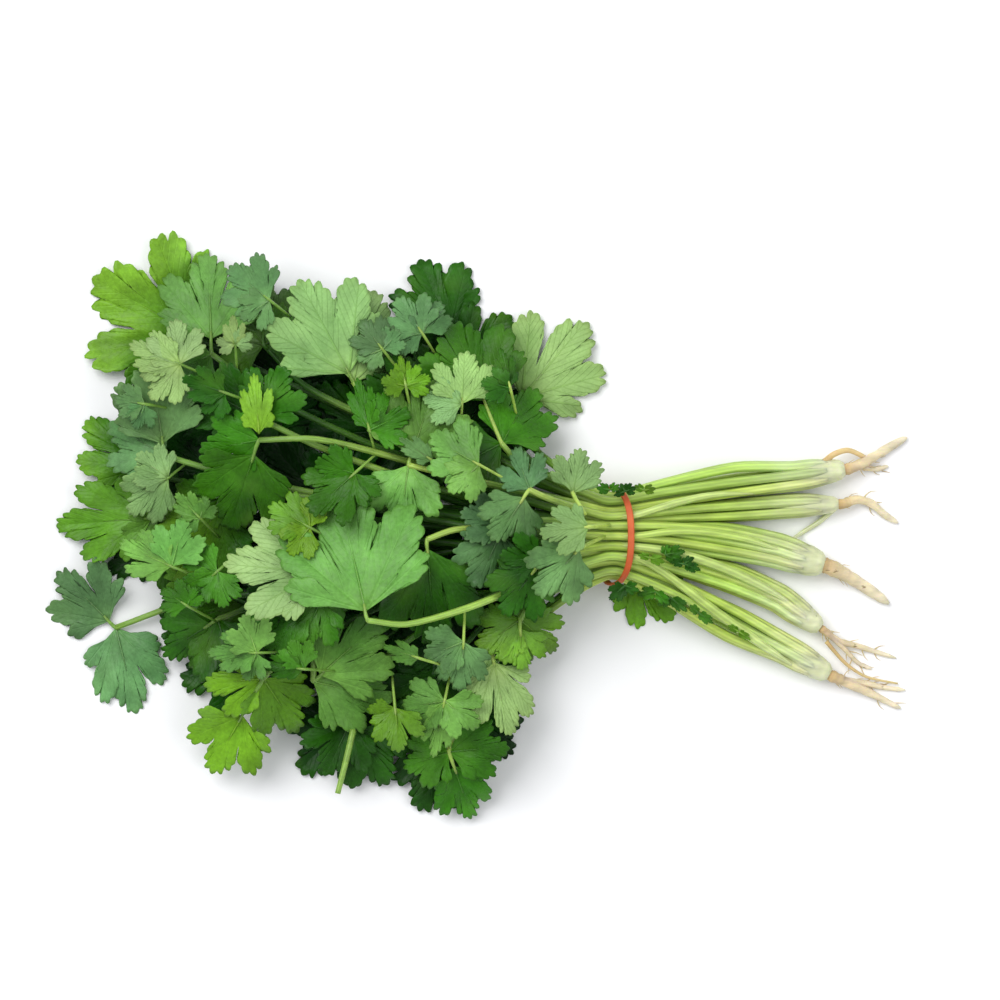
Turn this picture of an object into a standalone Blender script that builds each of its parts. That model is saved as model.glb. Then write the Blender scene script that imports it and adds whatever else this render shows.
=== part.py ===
"""A bunch of coriander, lying down: five rooted plants held at the neck by one rubber band.

+X runs from the leaves to the roots and +Z is up. The origin is the flat spot under the band that
the bunch rests on. Layout figures are in millimetres and are scaled to metres as meshes are made.
"""

import math
import random
from collections import namedtuple

import bmesh
import bpy
import numpy as np

MM = 0.001

# Neck: the stems cross the band's plane in stacked rows, the lowest row first.
NECK_ROWS = (5, 8, 9, 9, 8, 5)
STEM_PITCH = 3.3
ROW_PITCH = 3.25
FIRST_ROW_Z = 3.28
NECK_LEFT_X, NECK_RIGHT_X = 0.8, 5.2  # between these the stems run straight
STEM_R = 1.45
CROWN_STEM_R = 1.6
LEAF_STEM_R = 0.95
FREE_TO_X = -14.0  # from the neck to here the stems keep to their rows

# Band: a flattened ring that leans, so that its top is nearer the roots than its sides.
BAND_HALF_WIDTH = 15.1
BAND_HALF_HEIGHT = 10.3
BAND_ROUNDNESS = 2.6
BAND_THICKNESS = 1.1
BAND_WIDTH = 2.6
BAND_TOP_X, BAND_SIDE_X = 9.0, 3.0
BAND_SIDES = 32

# Plants, from the highest y down: how many stems, where the crown meets the root, the way it
# points in plan, its radius, and how far its stems bow out to its left and right before it.
Plant = namedtuple("Plant", "name stems x y heading radius bow")
PLANTS = (
    Plant("a", 8, 79.0, 21.8, 8, 4.3, (5.0, 0.0)),
    Plant("b", 6, 77.0, 10.4, 3, 3.4, (0.0, 1.5)),
    Plant("c", 12, 72.2, -9.6, -17, 5.3, (1.0, 1.0)),
    Plant("d", 10, 71.0, -30.0, -35, 4.1, (1.5, 1.5)),
    Plant("e", 8, 74.0, -45.2, -29, 4.3, (1.5, 5.0)),
)
CROWN_SIDES_RESOLUTION = 3
CROWN_PROFILE = ((0, 0.5), (1.5, 0.78), (5, 0.98), (10, 1.0), (17, 0.85), (24, 0.6))
CROWN_MOUTH = 17.0  # distance back from the root end to where the stems reach the crown
STEM_SUNK_TO = 7.0
STEM_RINGS = (0.0, 0.3, 0.65, 1.0)

# Roots as paths in plan from the crown's end, with the thickness there and at the tip. In each
# plant the first is the tap root, and the rest branch from it.
Root = namedtuple("Root", "points radius tip")
ROOTS = {
    "a": (
        Root(((86.5, 24.6), (93.5, 28.8), (99.5, 32.2)), 1.9, 1.1),
        Root(((84.5, 22.4), (89.5, 21.8), (93.4, 22.8)), 1.2, 0.7),
    ),
    "b": (Root(((83.0, 11.8), (88.0, 10.4), (92.0, 7.0), (96.5, 4.2)), 1.7, 1.0),),
    "c": (Root(((79.0, -12.6), (86.0, -16.9), (93.6, -22.2)), 2.7, 1.5),),
    "d": (
        Root(((77.0, -34.3), (83.3, -36.0), (89.6, -38.0), (96.0, -40.0)), 1.3, 0.6),
        Root(((79.0, -37.0), (83.5, -41.5), (88.0, -43.5)), 0.9, 0.6),
    ),
    "e": (
        Root(((80.5, -48.2), (87.4, -51.4), (93.0, -54.2), (97.4, -56.4)), 1.9, 0.8),
        Root(((81.0, -47.4), (86.0, -48.2), (92.0, -49.6), (99.0, -50.4)), 1.2, 0.7),
    ),
}

# Blades: a fan with three toothed lobes, as (angle from the midrib, share of the length).
HALF_OUTLINE = (
    (0, 1.0), (6, 0.87), (12, 0.95), (22, 0.64), (33, 0.92),
    (44, 0.84), (51, 0.66), (60, 0.72), (64, 0.3),
)
HUB = 0.27
BLADE_THICKNESS = 0.7
STIFFNESS = np.array((0.0, 4.0, 4.0, 12.0, 12.0, 12.0))
LEAST_BENDS = np.array((-0.5, -0.3, -0.35, -0.2, -0.15))  # slopes along and across, then bends
MOST_BENDS = np.array((0.2, 0.3, 0.0, 0.15, 0.15))
RACHIS_R = 0.85
GAP = 0.3

# Pile: the leaves are laid one over another from the lowest up, on a height map.
CELL = 1.0
CLEAR = 0.6
PILE_CORNER = (-215.0, -115.0)
PILE_CELLS = (320, 230)
KNOTS = (0.0, 0.16, 0.34, 0.56, 0.8, 1.0)
SEED = 1

# Leaves: node where the blades meet, heading of the stem there, stalk under the first blade, the
# tone of the upper faces, then the blades as (heading, length, breadth).
Leaf = namedtuple("Leaf", "x y heading stalk tone blades")
UNDER_LEAVES = 13
UPPER_LEAVES = (
    Leaf(-131, 64, 150, 3, "bright", ((150, 38, 1.1),)),
    Leaf(-110, 62, 118, 3, "olive", ((95, 20, 1.0), (28, 17, 1.0), (166, 18, 1.0))),
    Leaf(-127, 59, 135, 5, "light", ((93, 29, 1.0), (206, 19, 1.0))),
    Leaf(-133, 12, 172, 4, "blue", ((168, 28, 0.9), (215, 20, 0.9))),
    Leaf(-148, 20, 165, 3, "bright", ((138, 25, 0.9),)),
    Leaf(-144, 6, 180, 3, "bright", ((184, 32, 0.7), (236, 17, 0.9))),
    Leaf(-116, -22, 190, 3, "bright", ((160, 26, 1.0), (215, 20, 0.9))),
    Leaf(-159, -30, 212, 3, "blue", ((135, 24, 0.9), (284, 29, 0.75))),
    Leaf(-125, -27, 215, 3, "deep", ((212, 19, 1.0), (286, 23, 1.0))),
    Leaf(-110, -46, 245, 14, "bright", ((240, 22, 1.0), (186, 20, 0.9), (302, 21, 1.0))),
    Leaf(-82, -60, 280, 3, "deep", ((302, 22, 1.0), (245, 20, 1.0))),
    Leaf(-50, -70, 272, 5, "mid", ((288, 19, 0.9), (200, 16, 1.0), (6, 20, 0.9))),
    Leaf(-36, -38, 275, 3, "pale", ((281, 25, 0.7), (243, 21, 0.7))),
    Leaf(-94, -47, 305, 3, "light", ((42, 28, 1.0), (-14, 27, 0.9))),
    Leaf(-29, 42, 70, 4, "pale", ((50, 33, 0.9),)),
    Leaf(-81, 50, 105, 3, "pale", ((118, 35, 0.9), (78, 31, 0.9))),
    Leaf(-57, 45, 115, 3, "deep", ((168, 19, 1.0), (95, 18, 0.9))),
    Leaf(-111, 38, 150, 3, "deep", ((152, 22, 1.0), (62, 19, 1.0))),
    Leaf(-142, 26, 160, 4, "blue", ((99, 28, 0.9), (150, 22, 1.0))),
    Leaf(-124, 13, 190, 3, "bright", ((246, 29, 0.9), (200, 18, 0.9))),
    Leaf(-111, 31, 194, 5, "mid", ((250, 26, 1.0), (190, 20, 0.9))),
    Leaf(-91, -20, 190, 3, "mid", ((197, 25, 0.9), (247, 18, 1.0))),
    Leaf(-88, -12, 178, 3, "pale", ((175, 32, 0.85),)),
    Leaf(-33, 30, 118, 15, "mid", ((112, 28, 1.1), (60, 22, 1.0), (207, 25, 0.9))),
    Leaf(-63, 23, 165, 3, "light", ((72, 26, 1.0), (262, 21, 1.0))),
    Leaf(-27, -27, 260, 3, "bright", ((272, 14, 1.0), (318, 16, 1.0), (216, 17, 1.0))),
    Leaf(-57, -1, 215, 3, "mid", ((274, 33, 0.9),)),
    Leaf(-76, -27, 155, 3, "light", ((103, 40, 1.0),)),
    Leaf(-32, 4, 200, 3, "blue", ((246, 20, 1.0), (168, 15, 1.0))),
    Leaf(-24, 15, 150, 3, "blue", ((236, 18, 1.0), (110, 15, 0.9))),
    Leaf(-20, -8, 205, 3, "deep", ((232, 19, 1.0), (175, 14, 1.0))),
)

SIDE_LEAVES = (
    Leaf(-8, -4, 205, 8, "blue", ((228, 21, 0.9),)),
    Leaf(-5, 3, 185, 6, "pale", ((186, 16, 0.8),)),
    Leaf(-10, 14, 120, 7, "pale", ((78, 15, 1.0),)),
)
FLOOR_LEAF = (9, -12, -50, 22, 0.9, "bright")

COLOURS = {
    "leaf_deep": (0.045, 0.115, 0.025, 1),
    "leaf_mid": (0.085, 0.185, 0.035, 1),
    "leaf_bright": (0.16, 0.3, 0.03, 1),
    "leaf_light": (0.2, 0.33, 0.09, 1),
    "leaf_blue": (0.11, 0.19, 0.11, 1),
    "leaf_pale": (0.32, 0.4, 0.16, 1),
    "leaf_olive": (0.22, 0.24, 0.06, 1),
    "stem": (0.42, 0.55, 0.14, 1),
    "root": (0.62, 0.48, 0.27, 1),
    "rubber_band": (0.62, 0.12, 0.04, 1),
}


def lerp(a, b, t):
    return a + (b - a) * t


def in_plan(degrees):
    angle = math.radians(degrees)
    return np.array((math.cos(angle), math.sin(angle)))


def hermite(start, end, leaving, arriving, t):
    """Points at shares t of a smooth curve with these end tangents."""
    t = np.asarray(t)[..., None]
    t2, t3 = t * t, t * t * t
    return (
        (2 * t3 - 3 * t2 + 1) * start
        + (t3 - 2 * t2 + t) * leaving
        + (3 * t2 - 2 * t3) * end
        + (t3 - t2) * arriving
    )


# ---------------------------------------------------------------- blades


def outline():
    """The margin, round from the base, as angles from the midrib and shares of the length."""
    near = [(-angle, reach) for angle, reach in reversed(HALF_OUTLINE[1:])]
    angles, reaches = zip((0, 0.0), *near, *HALF_OUTLINE)
    return np.radians(angles), np.array(reaches)


def fan_shares(length):
    """Weights that make points all over a fan of triangles from its hub and its margin."""
    count = len(outline()[0])
    steps = max(3, int(length / 3.5))
    rows = []
    for i in range(count):
        for along in np.linspace(0, 1, steps, endpoint=False):
            for out in np.linspace(0, 1, 3 * steps):
                row = np.zeros(count + 1)
                row[0] = 1 - out
                row[1 + i] += out * (1 - along)
                row[1 + (i + 1) % count] += out * along
                rows.append(row)
    return np.array(rows)


class Blade:
    """One lobed leaflet. In plan it is fixed, and its bends are fitted to the pile under it."""

    def __init__(self, node, stalk, heading, length, breadth, draws):
        angles, reaches = outline()
        x = np.append(HUB, reaches * np.cos(angles))
        y = np.append(0, reaches * np.sin(angles)) * breadth
        along, across = in_plan(heading), in_plan(heading + 90)
        self.plan = node + stalk * along + length * (x[:, None] * along + y[:, None] * across)
        self.wave = length * draws.uniform(0.02, 0.05) * (x * x + y * y)
        self.wave *= np.sin(4 * np.append(0, angles) + draws.uniform(0, 2 * math.pi))
        # The height is the node's height, plus a slope along and across, plus three bends.
        self.terms = np.stack(
            (np.ones_like(x), x + stalk / length, y, x * x, y * y, x * y), 1
        ) * np.array((1, length, length, length, length, length))
        self.habit = np.array(
            (
                draws.uniform(-0.1, 0.2),
                draws.uniform(-0.15, 0.15),
                draws.uniform(-0.3, -0.05),
                draws.uniform(-0.25, 0.15),
                draws.uniform(-0.15, 0.15),
            )
        )
        self.shares = fan_shares(length)
        self.spots = self.shares @ self.plan
        self.bends = self.habit

    def need(self, pile, loft=0.0):
        return pile.under(self.spots) + CLEAR + BLADE_THICKNESS / 2 + loft

    def heights(self, node_z):
        return self.terms @ np.append(node_z, self.bends) + self.wave

    def fit(self, need, node_z=None):
        """Settles the bends on the needed heights. Returns the node's height and the shortfall."""
        rows = self.shares @ self.terms
        target = need - self.shares @ self.wave
        free = np.ones(6)
        start = np.append(np.median(target) if node_z is None else node_z, self.habit)
        if node_z is not None:
            free[0] = 0
        values = start
        hold = np.diag(STIFFNESS) * len(target)
        for _ in range(6):
            miss = target - rows @ values
            weights = np.where(miss > 0, 4.0, 0.15)[:, None]
            moves = rows * free
            lhs = moves.T @ (weights * moves) + hold + np.diag(1 - free)
            rhs = moves.T @ (weights[:, 0] * (target - rows @ start))
            values = within_bends(start + free * np.linalg.solve(lhs, rhs))
        values = raise_to(values, rows * free, rows, target, within_bends)
        self.bends = values[1:]
        return float(values[0]), float((target - rows @ values).max())


def within_bends(values):
    return np.append(values[0], np.clip(values[1:], LEAST_BENDS, MOST_BENDS))


def raise_to(values, moves, rows, target, within, tries=120):
    """Moves the values by as little as will do until no row falls short of its target."""
    scale = 1 / np.maximum(np.abs(rows).max(0), 1e-6) ** 2
    for _ in range(tries):
        short = target - rows @ values
        worst = int(short.argmax())
        if short[worst] < 0.02:
            break
        step = moves[worst] * scale
        values = within(values + step * short[worst] / max(float(step @ moves[worst]), 1e-9))
    return values


def close_steps(points, radii, spacing=0.7):
    """The same path with points no further apart than this."""
    lengths = np.linalg.norm(np.diff(points, axis=0), axis=1)
    far = np.append(0, np.cumsum(lengths))
    steps = np.linspace(0, far[-1], int(far[-1] / spacing) + 2)
    dense = np.column_stack([np.interp(steps, far, axis) for axis in points.T])
    return dense, np.interp(steps, far, radii)


# ---------------------------------------------------------------- pile


class Pile:
    """Height of the top of what has been laid so far, on a grid seen from above."""

    def __init__(self):
        self.top = np.full(PILE_CELLS, 0.05 - CLEAR)

    def cells(self, points, shift=(0, 0)):
        found = np.floor((points[:, :2] - PILE_CORNER) / CELL).astype(int) + shift
        return tuple(np.clip(found, 0, np.array(PILE_CELLS) - 1).T)

    def under(self, points):
        return self.top[self.cells(points)]

    def lay(self, points, heights):
        for i in (-1, 0, 1):
            for j in (-1, 0, 1):
                np.maximum.at(self.top, self.cells(points, (i, j)), heights)

    def lay_tube(self, points, radii, clear_of=None):
        points, radii = close_steps(points, radii)
        if clear_of is not None:
            kept = np.linalg.norm(points[:, :2] - clear_of, axis=1) > 5.0
            points, radii = points[kept], radii[kept]
        ahead = np.gradient(points, axis=0)[:, :2]
        ahead /= np.maximum(np.linalg.norm(ahead, axis=1), 1e-6)[:, None]
        for side in (-1, 0, 1):
            beside = points[:, :2] + side * radii[:, None] * ahead[:, ::-1] * (1, -1)
            self.lay(beside, points[:, 2] + radii)


# ---------------------------------------------------------------- layout


def under_leaves():
    """Leaves low in the bunch, spread evenly round the fan in two rings."""
    leaves = []
    for i in range(UNDER_LEAVES):
        fan = 180 + lerp(-66, 66, i / (UNDER_LEAVES - 1))
        radius = (112 if i % 2 == 0 else 72) * (1 - 0.48 * abs(math.sin(math.radians(fan))))
        x, y = radius * in_plan(fan)
        blades = ((fan, 26, 1.0), (fan + 72, 22, 1.0), (fan - 72, 22, 1.0))
        leaves.append(Leaf(x - 20, y, fan, 10, "deep", blades))
    # The outer ring goes down first, so that the inner stems need not climb over it.
    return leaves[::2] + leaves[1::2]


def neck_slots(count):
    """Where the stems cross the band's plane, as rows from the lowest up."""
    rows = []
    for i, stems in enumerate(NECK_ROWS):
        offsets = [(k - (stems - 1) / 2) * STEM_PITCH for k in range(stems)]
        z = FIRST_ROW_Z + i * ROW_PITCH
        rows.append([np.array((NECK_LEFT_X, y, z)) for y in offsets])
    assert sum(map(len, rows)) == count
    return rows


def match_slots():
    """(leaf, slot) pairs from the lowest up. Along each row the stems keep the leaves' order."""
    leaves = [*under_leaves(), *UPPER_LEAVES]
    pairs = []
    for row in neck_slots(len(leaves)):
        laid = leaves[len(pairs) : len(pairs) + len(row)]
        order = sorted(range(len(row)), key=lambda k: math.atan2(laid[k].y, 40 - laid[k].x))
        slot_of = dict(zip(order, row))
        pairs += [(laid[k], slot_of[k]) for k in range(len(row))]
    return pairs


class LeafyStem:
    """One stem from the neck to its leaf, laid on the pile."""

    def __init__(self, leaf, slot, pile, draws, loft):
        self.leaf, self.slot = leaf, slot
        self.plan_node = np.array((leaf.x, leaf.y))
        self.blades = []
        for i, (heading, length, breadth) in enumerate(leaf.blades):
            stalk = leaf.stalk if i == 0 else 0.0
            self.blades.append(Blade(self.plan_node, stalk, heading, length, breadth, draws))
        node_z = max(blade.fit(blade.need(pile, loft))[0] for blade in self.blades)
        for _ in range(12):
            node_z = self.route(pile, node_z)
            trial = Pile()
            trial.top[:] = pile.top
            trial.lay_tube(*self.whole(), clear_of=self.plan_node)
            short = max(blade.fit(blade.need(trial, loft), node_z)[1] for blade in self.blades)
            if short < 0.1:
                break
            node_z += short
        self.node_z = node_z
        pile.lay_tube(*self.whole())
        lay_blades(self.blades, node_z, pile)

    def plan(self, t):
        start = self.slot[:2]
        far = np.linalg.norm(self.plan_node - start)
        leaving = np.array((-1.0, 0.03 * self.slot[1])) * far * 0.8
        arriving = in_plan(self.leaf.heading) * far * 0.7
        return hermite(start, self.plan_node, leaving, arriving, t)

    def radius(self, t):
        return lerp(STEM_R, LEAF_STEM_R, t)

    def route(self, pile, node_z):
        """Sets the stem's heights at KNOTS so that it clears what it crosses."""
        t = np.linspace(0.0, 1, 140)
        spots = self.spots(t)
        rows = np.array([np.interp(t, KNOTS, unit) for unit in np.eye(len(KNOTS))]).T
        need = pile.under(spots) + CLEAR + self.radius(t)
        need[spots[:, 0] > FREE_TO_X] = 0.0
        knots = np.array(KNOTS)
        start = lerp(self.slot[2], node_z, knots * knots * (3 - 2 * knots))
        moves = rows.copy()
        moves[:, 0] = 0.0
        self.knot_z = raise_to(start, moves, rows, need, np.copy)
        return float(self.knot_z[-1])

    def spots(self, t):
        """Plan of the polyline through the knots."""
        corners = self.plan(np.array(KNOTS))
        return np.column_stack([np.interp(t, KNOTS, corners[:, i]) for i in (0, 1)])

    def whole(self):
        points = np.column_stack((self.plan(np.array(KNOTS)), self.knot_z))
        return points, self.radius(np.array(KNOTS))

    def path(self):
        """Points and radii from the neck to just short of the leaf."""
        points, radii = self.whole()
        last = points[-1] - points[-2]
        points[-1] = points[-1] - last / np.linalg.norm(last) * (2.0 + GAP)
        return points, radii

    def rachis(self):
        """Points and radii from just past the stem's end, through the node, into the first blade."""
        node = np.append(self.plan_node, self.node_z)
        back = np.append(self.plan(np.array(KNOTS))[-2], self.knot_z[-2]) - node
        start = node + back / np.linalg.norm(back) * 2.0
        heading, length, _ = self.leaf.blades[0]
        blade = self.blades[0]
        reach = self.leaf.stalk + 2.5
        end_z = self.node_z + blade.bends[0] * reach
        end = np.append(self.plan_node + reach * in_plan(heading), end_z)
        return np.array((start, node, end)), np.array((LEAF_STEM_R, RACHIS_R, 0.6))


def lay_blades(blades, node_z, pile):
    for blade in blades:
        pile.lay(blade.spots, blade.shares @ blade.heights(node_z) + BLADE_THICKNESS / 2)


class SideLeaf:
    """A small leaf with a short stalk of its own, lying on whatever is there."""

    def __init__(self, leaf, pile, draws):
        self.leaf = leaf
        node = np.array((leaf.x, leaf.y))
        self.blades = [Blade(node, 0.0, *shape, draws) for shape in leaf.blades]
        foot = node - leaf.stalk * in_plan(leaf.heading)
        t = np.linspace(0, 1, 20)
        rows = np.column_stack((1 - t, t))
        need = pile.under(rows @ (foot, node)) + CLEAR + RACHIS_R
        foot_z, self.node_z = raise_to(need[[0, -1]], rows, rows, need, np.copy)
        for _ in range(12):
            short = max(blade.fit(blade.need(pile), self.node_z)[1] for blade in self.blades)
            if short < 0.1:
                break
            self.node_z += short
        lay_blades(self.blades, self.node_z, pile)
        heading, _, _ = leaf.blades[0]
        into = node + 2.5 * in_plan(heading)
        end_z = self.node_z + self.blades[0].bends[0] * 2.5
        self.stalk = np.array(((*foot, foot_z), (*node, self.node_z), (*into, end_z)))
        pile.lay_tube(self.stalk[:2], np.array((RACHIS_R, RACHIS_R)))

    def rachis(self):
        return self.stalk, np.array((0.7, RACHIS_R, 0.6))


def lay_bunch():
    """Every leafy stem, laid in order from the lowest, then the side leaves on top."""
    pile = Pile()
    stems = []
    for i, (leaf, slot) in enumerate(match_slots()):
        draws = random.Random(SEED * 1000 + i)
        loft = 0.0 if i < UNDER_LEAVES else draws.uniform(0, 1.0)
        stems.append(LeafyStem(leaf, slot, pile, draws, loft))
    for plant, own in split_plants(stems):
        for points, radii in stem_paths(plant, own):
            pile.lay_tube(points, radii)
    for side in np.linspace(-1, 1, 60) * (BAND_HALF_WIDTH + BAND_THICKNESS):
        across = np.array([(x, side) for x in np.arange(BAND_SIDE_X - 2, BAND_TOP_X + 2, 0.7)])
        pile.lay(across, np.full(len(across), 2 * BAND_HALF_HEIGHT + 2 * BAND_THICKNESS))
    sides = [SideLeaf(leaf, pile, random.Random(SEED * 77 + leaf.x)) for leaf in SIDE_LEAVES]
    return stems, sides


# ---------------------------------------------------------------- solids


def tube(name, points, radii, resolution=1, tint="stem"):
    """A round tube along straight runs, closed at both ends."""
    curve = bpy.data.curves.new(name, "CURVE")
    curve.dimensions = "3D"
    curve.bevel_depth = MM
    curve.bevel_resolution = resolution
    curve.use_fill_caps = True
    spline = curve.splines.new("POLY")
    spline.points.add(len(points) - 1)
    for point, co, radius in zip(spline.points, points, radii):
        point.co = (*(float(v) * MM for v in co), 1)
        point.radius = float(radius)
    helper = bpy.data.objects.new(name, curve)
    bpy.context.scene.collection.objects.link(helper)
    bpy.context.view_layer.update()
    graph = bpy.context.evaluated_depsgraph_get()
    mesh = bpy.data.meshes.new_from_object(helper.evaluated_get(graph))
    bpy.data.objects.remove(helper)
    bpy.data.curves.remove(curve)
    bm = bmesh.new()
    bm.from_mesh(mesh)
    bmesh.ops.remove_doubles(bm, verts=bm.verts, dist=1e-6)
    bmesh.ops.recalc_face_normals(bm, faces=bm.faces)
    bm.to_mesh(mesh)
    bm.free()
    return placed(name, mesh, tint)


def placed(name, mesh, tint):
    mesh.materials.clear()
    mesh.materials.append(material(tint))
    made = bpy.data.objects.new(name, mesh)
    bpy.context.scene.collection.objects.link(made)
    return made


def material(tint):
    found = bpy.data.materials.get(tint)
    if found is None:
        found = bpy.data.materials.new(tint)
        found.use_nodes = True
        shader = found.node_tree.nodes["Principled BSDF"]
        shader.inputs["Base Color"].default_value = COLOURS[tint]
        shader.inputs["Roughness"].default_value = 0.7 if tint == "root" else 0.5
    return found


def applied(made):
    """Swaps the object's mesh for the one its modifiers make."""
    bpy.context.view_layer.update()
    graph = bpy.context.evaluated_depsgraph_get()
    mesh = bpy.data.meshes.new_from_object(made.evaluated_get(graph))
    made.modifiers.clear()
    made.data = mesh
    return made


def fused(name, pieces, tint):
    """One body from the pieces."""
    base, others = pieces[0], pieces[1:]
    if others:
        group = bpy.data.collections.new(name + "_pieces")
        bpy.context.scene.collection.children.link(group)
        for piece in others:
            bpy.context.scene.collection.objects.unlink(piece)
            group.objects.link(piece)
        union = base.modifiers.new("union", "BOOLEAN")
        union.operation = "UNION"
        union.operand_type = "COLLECTION"
        union.collection = group
        union.solver = "EXACT"
        applied(base)
        for piece in others:
            bpy.data.objects.remove(piece)
        bpy.data.collections.remove(group)
    base.name = name
    base.data.materials.clear()
    base.data.materials.append(material(tint))
    return base


def blade_solid(name, blade, node_z, tint):
    mesh = bpy.data.meshes.new(name)
    bm = bmesh.new()
    margin = len(blade.plan) - 1
    bmesh.ops.create_circle(bm, cap_ends=True, cap_tris=True, segments=margin, radius=1)
    for vertex, at, z in zip(bm.verts, blade.plan, blade.heights(node_z)):
        vertex.co = (at[0] * MM, at[1] * MM, z * MM)
    bmesh.ops.recalc_face_normals(bm, faces=bm.faces)
    bm.to_mesh(mesh)
    bm.free()
    made = placed(name, mesh, tint)
    solid = made.modifiers.new("thickness", "SOLIDIFY")
    solid.thickness = BLADE_THICKNESS * MM
    solid.offset = 0
    return applied(made)


def leaf_solid(name, stem):
    tint = "leaf_" + stem.leaf.tone
    pieces = [tube(name + "_rachis", *stem.rachis(), resolution=0, tint=tint)]
    for i, blade in enumerate(stem.blades):
        pieces.append(blade_solid(f"{name}_blade{i}", blade, stem.node_z, tint))
    return fused(name, pieces, tint)


def floor_leaf_solid():
    """A leaflet caught under the stems on the roots' side of the band."""
    blade = Blade(np.array(FLOOR_LEAF[:2]), 0.0, *FLOOR_LEAF[2:5], random.Random(SEED))
    blade.bends, blade.wave = np.zeros(5), 0.0
    tint = "leaf_" + FLOOR_LEAF[5]
    return blade_solid("floor_leaf", blade, BLADE_THICKNESS / 2 + 0.05, tint)


def crown_slots(plant, stems):
    """Offsets (across, up) at the crown's mouth: the inmost stems at the core, the rest round it."""
    at = np.array([stem.slot[1:] for stem in stems])
    at = (at - at.mean(0)) / (1, 1.6)
    inner = len(stems) // 5
    order = np.argsort(np.linalg.norm(at, axis=1))
    slots = {}
    for k, i in enumerate(order[:inner]):
        angle = 2 * math.pi * k / max(inner, 1)
        slots[int(i)] = 0.8 * (inner > 1) * np.array((math.cos(angle), math.sin(angle)))
    ring = sorted((int(i) for i in order[inner:]), key=lambda i: math.atan2(at[i][1], at[i][0]))
    own = [math.atan2(at[i][1], at[i][0]) for i in ring]
    step = 2 * math.pi / len(ring)
    turn = np.mean([angle - k * step for k, angle in enumerate(own)])
    for k, i in enumerate(ring):
        angle = turn + k * step
        slots[i] = (plant.radius - 0.7) * np.array((math.cos(angle), math.sin(angle)))
    return [slots[i] for i in range(len(stems))]


def crown_axis_z(plant):
    return plant.radius - 0.7 + CROWN_STEM_R + 0.05


def crown_point(plant, back, offset=(0.0, 0.0)):
    """A point this far back along the crown from the root, offset (across, up) from its axis."""
    at = np.array((plant.x, plant.y)) - back * in_plan(plant.heading)
    at = at + offset[0] * in_plan(plant.heading + 90)
    return np.append(at, crown_axis_z(plant) + offset[1])


def stem_paths(plant, stems):
    """Each stem from inside the crown to its leaf, as points and radii."""
    paths = []
    for stem, slot in zip(stems, crown_slots(plant, stems)):
        mouth = crown_point(plant, CROWN_MOUTH, slot)
        neck = stem.slot + (NECK_RIGHT_X - NECK_LEFT_X, 0, 0)
        far = np.linalg.norm(mouth - neck)
        leaving = np.array((1.0, 0.02 * stem.slot[1], 0)) * far * 0.6
        arriving = np.append(in_plan(plant.heading), 0) * far * 0.6
        bow = plant.bow[0 if slot[0] > 0 else 1] * slot[0]
        arriving = arriving - bow * np.append(in_plan(plant.heading + 90), 0)
        shares = np.array(STEM_RINGS[::-1])
        right = hermite(neck, mouth, leaving, arriving, shares)
        left, left_radii = stem.path()
        points = np.vstack((crown_point(plant, STEM_SUNK_TO, 0.45 * slot), right, left))
        radii = np.concatenate(([1.1], lerp(STEM_R, CROWN_STEM_R, shares), left_radii))
        paths.append((points, radii))
    return paths


def split_plants(stems):
    """Each plant takes its share of the neck's stems, in order from the highest y down."""
    ordered = sorted(stems, key=lambda stem: (-stem.slot[1], stem.slot[2]))
    taken = 0
    for plant in PLANTS:
        yield plant, ordered[taken : taken + plant.stems]
        taken += plant.stems


def plant_solid(plant, stems):
    """The crown with its stems sunk into it."""
    backs, shares = zip(*CROWN_PROFILE)
    spine = [crown_point(plant, back) for back in backs]
    radii = [plant.radius * share for share in shares]
    pieces = [tube("crown", spine, radii, CROWN_SIDES_RESOLUTION)]
    for points, radii in stem_paths(plant, stems):
        pieces.append(tube("stem", points, radii))
    return fused("plant_" + plant.name, pieces, "stem")


def root_solid(plant):
    along, axis_z = in_plan(plant.heading), crown_axis_z(plant)
    pieces = []
    for i, root in enumerate(ROOTS[plant.name]):
        collar = np.array((plant.x, plant.y)) + (GAP + 0.7 * i) * along
        plan = [collar, collar + 1.8 * along, *map(np.array, root.points)]
        shares = [max(0, k - 1) / (len(plan) - 2) for k in range(len(plan))]
        radii = [lerp(root.radius, root.tip, share) for share in shares]
        lows = [lerp(axis_z, root.tip, min(1, 1.4 * share)) for share in shares]
        points = [np.append(at, max(low, r + 0.05)) for at, low, r in zip(plan, lows, radii)]
        pieces.append(tube("root", points, radii, tint="root"))
    return fused("root_" + plant.name, pieces, "root")


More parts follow.
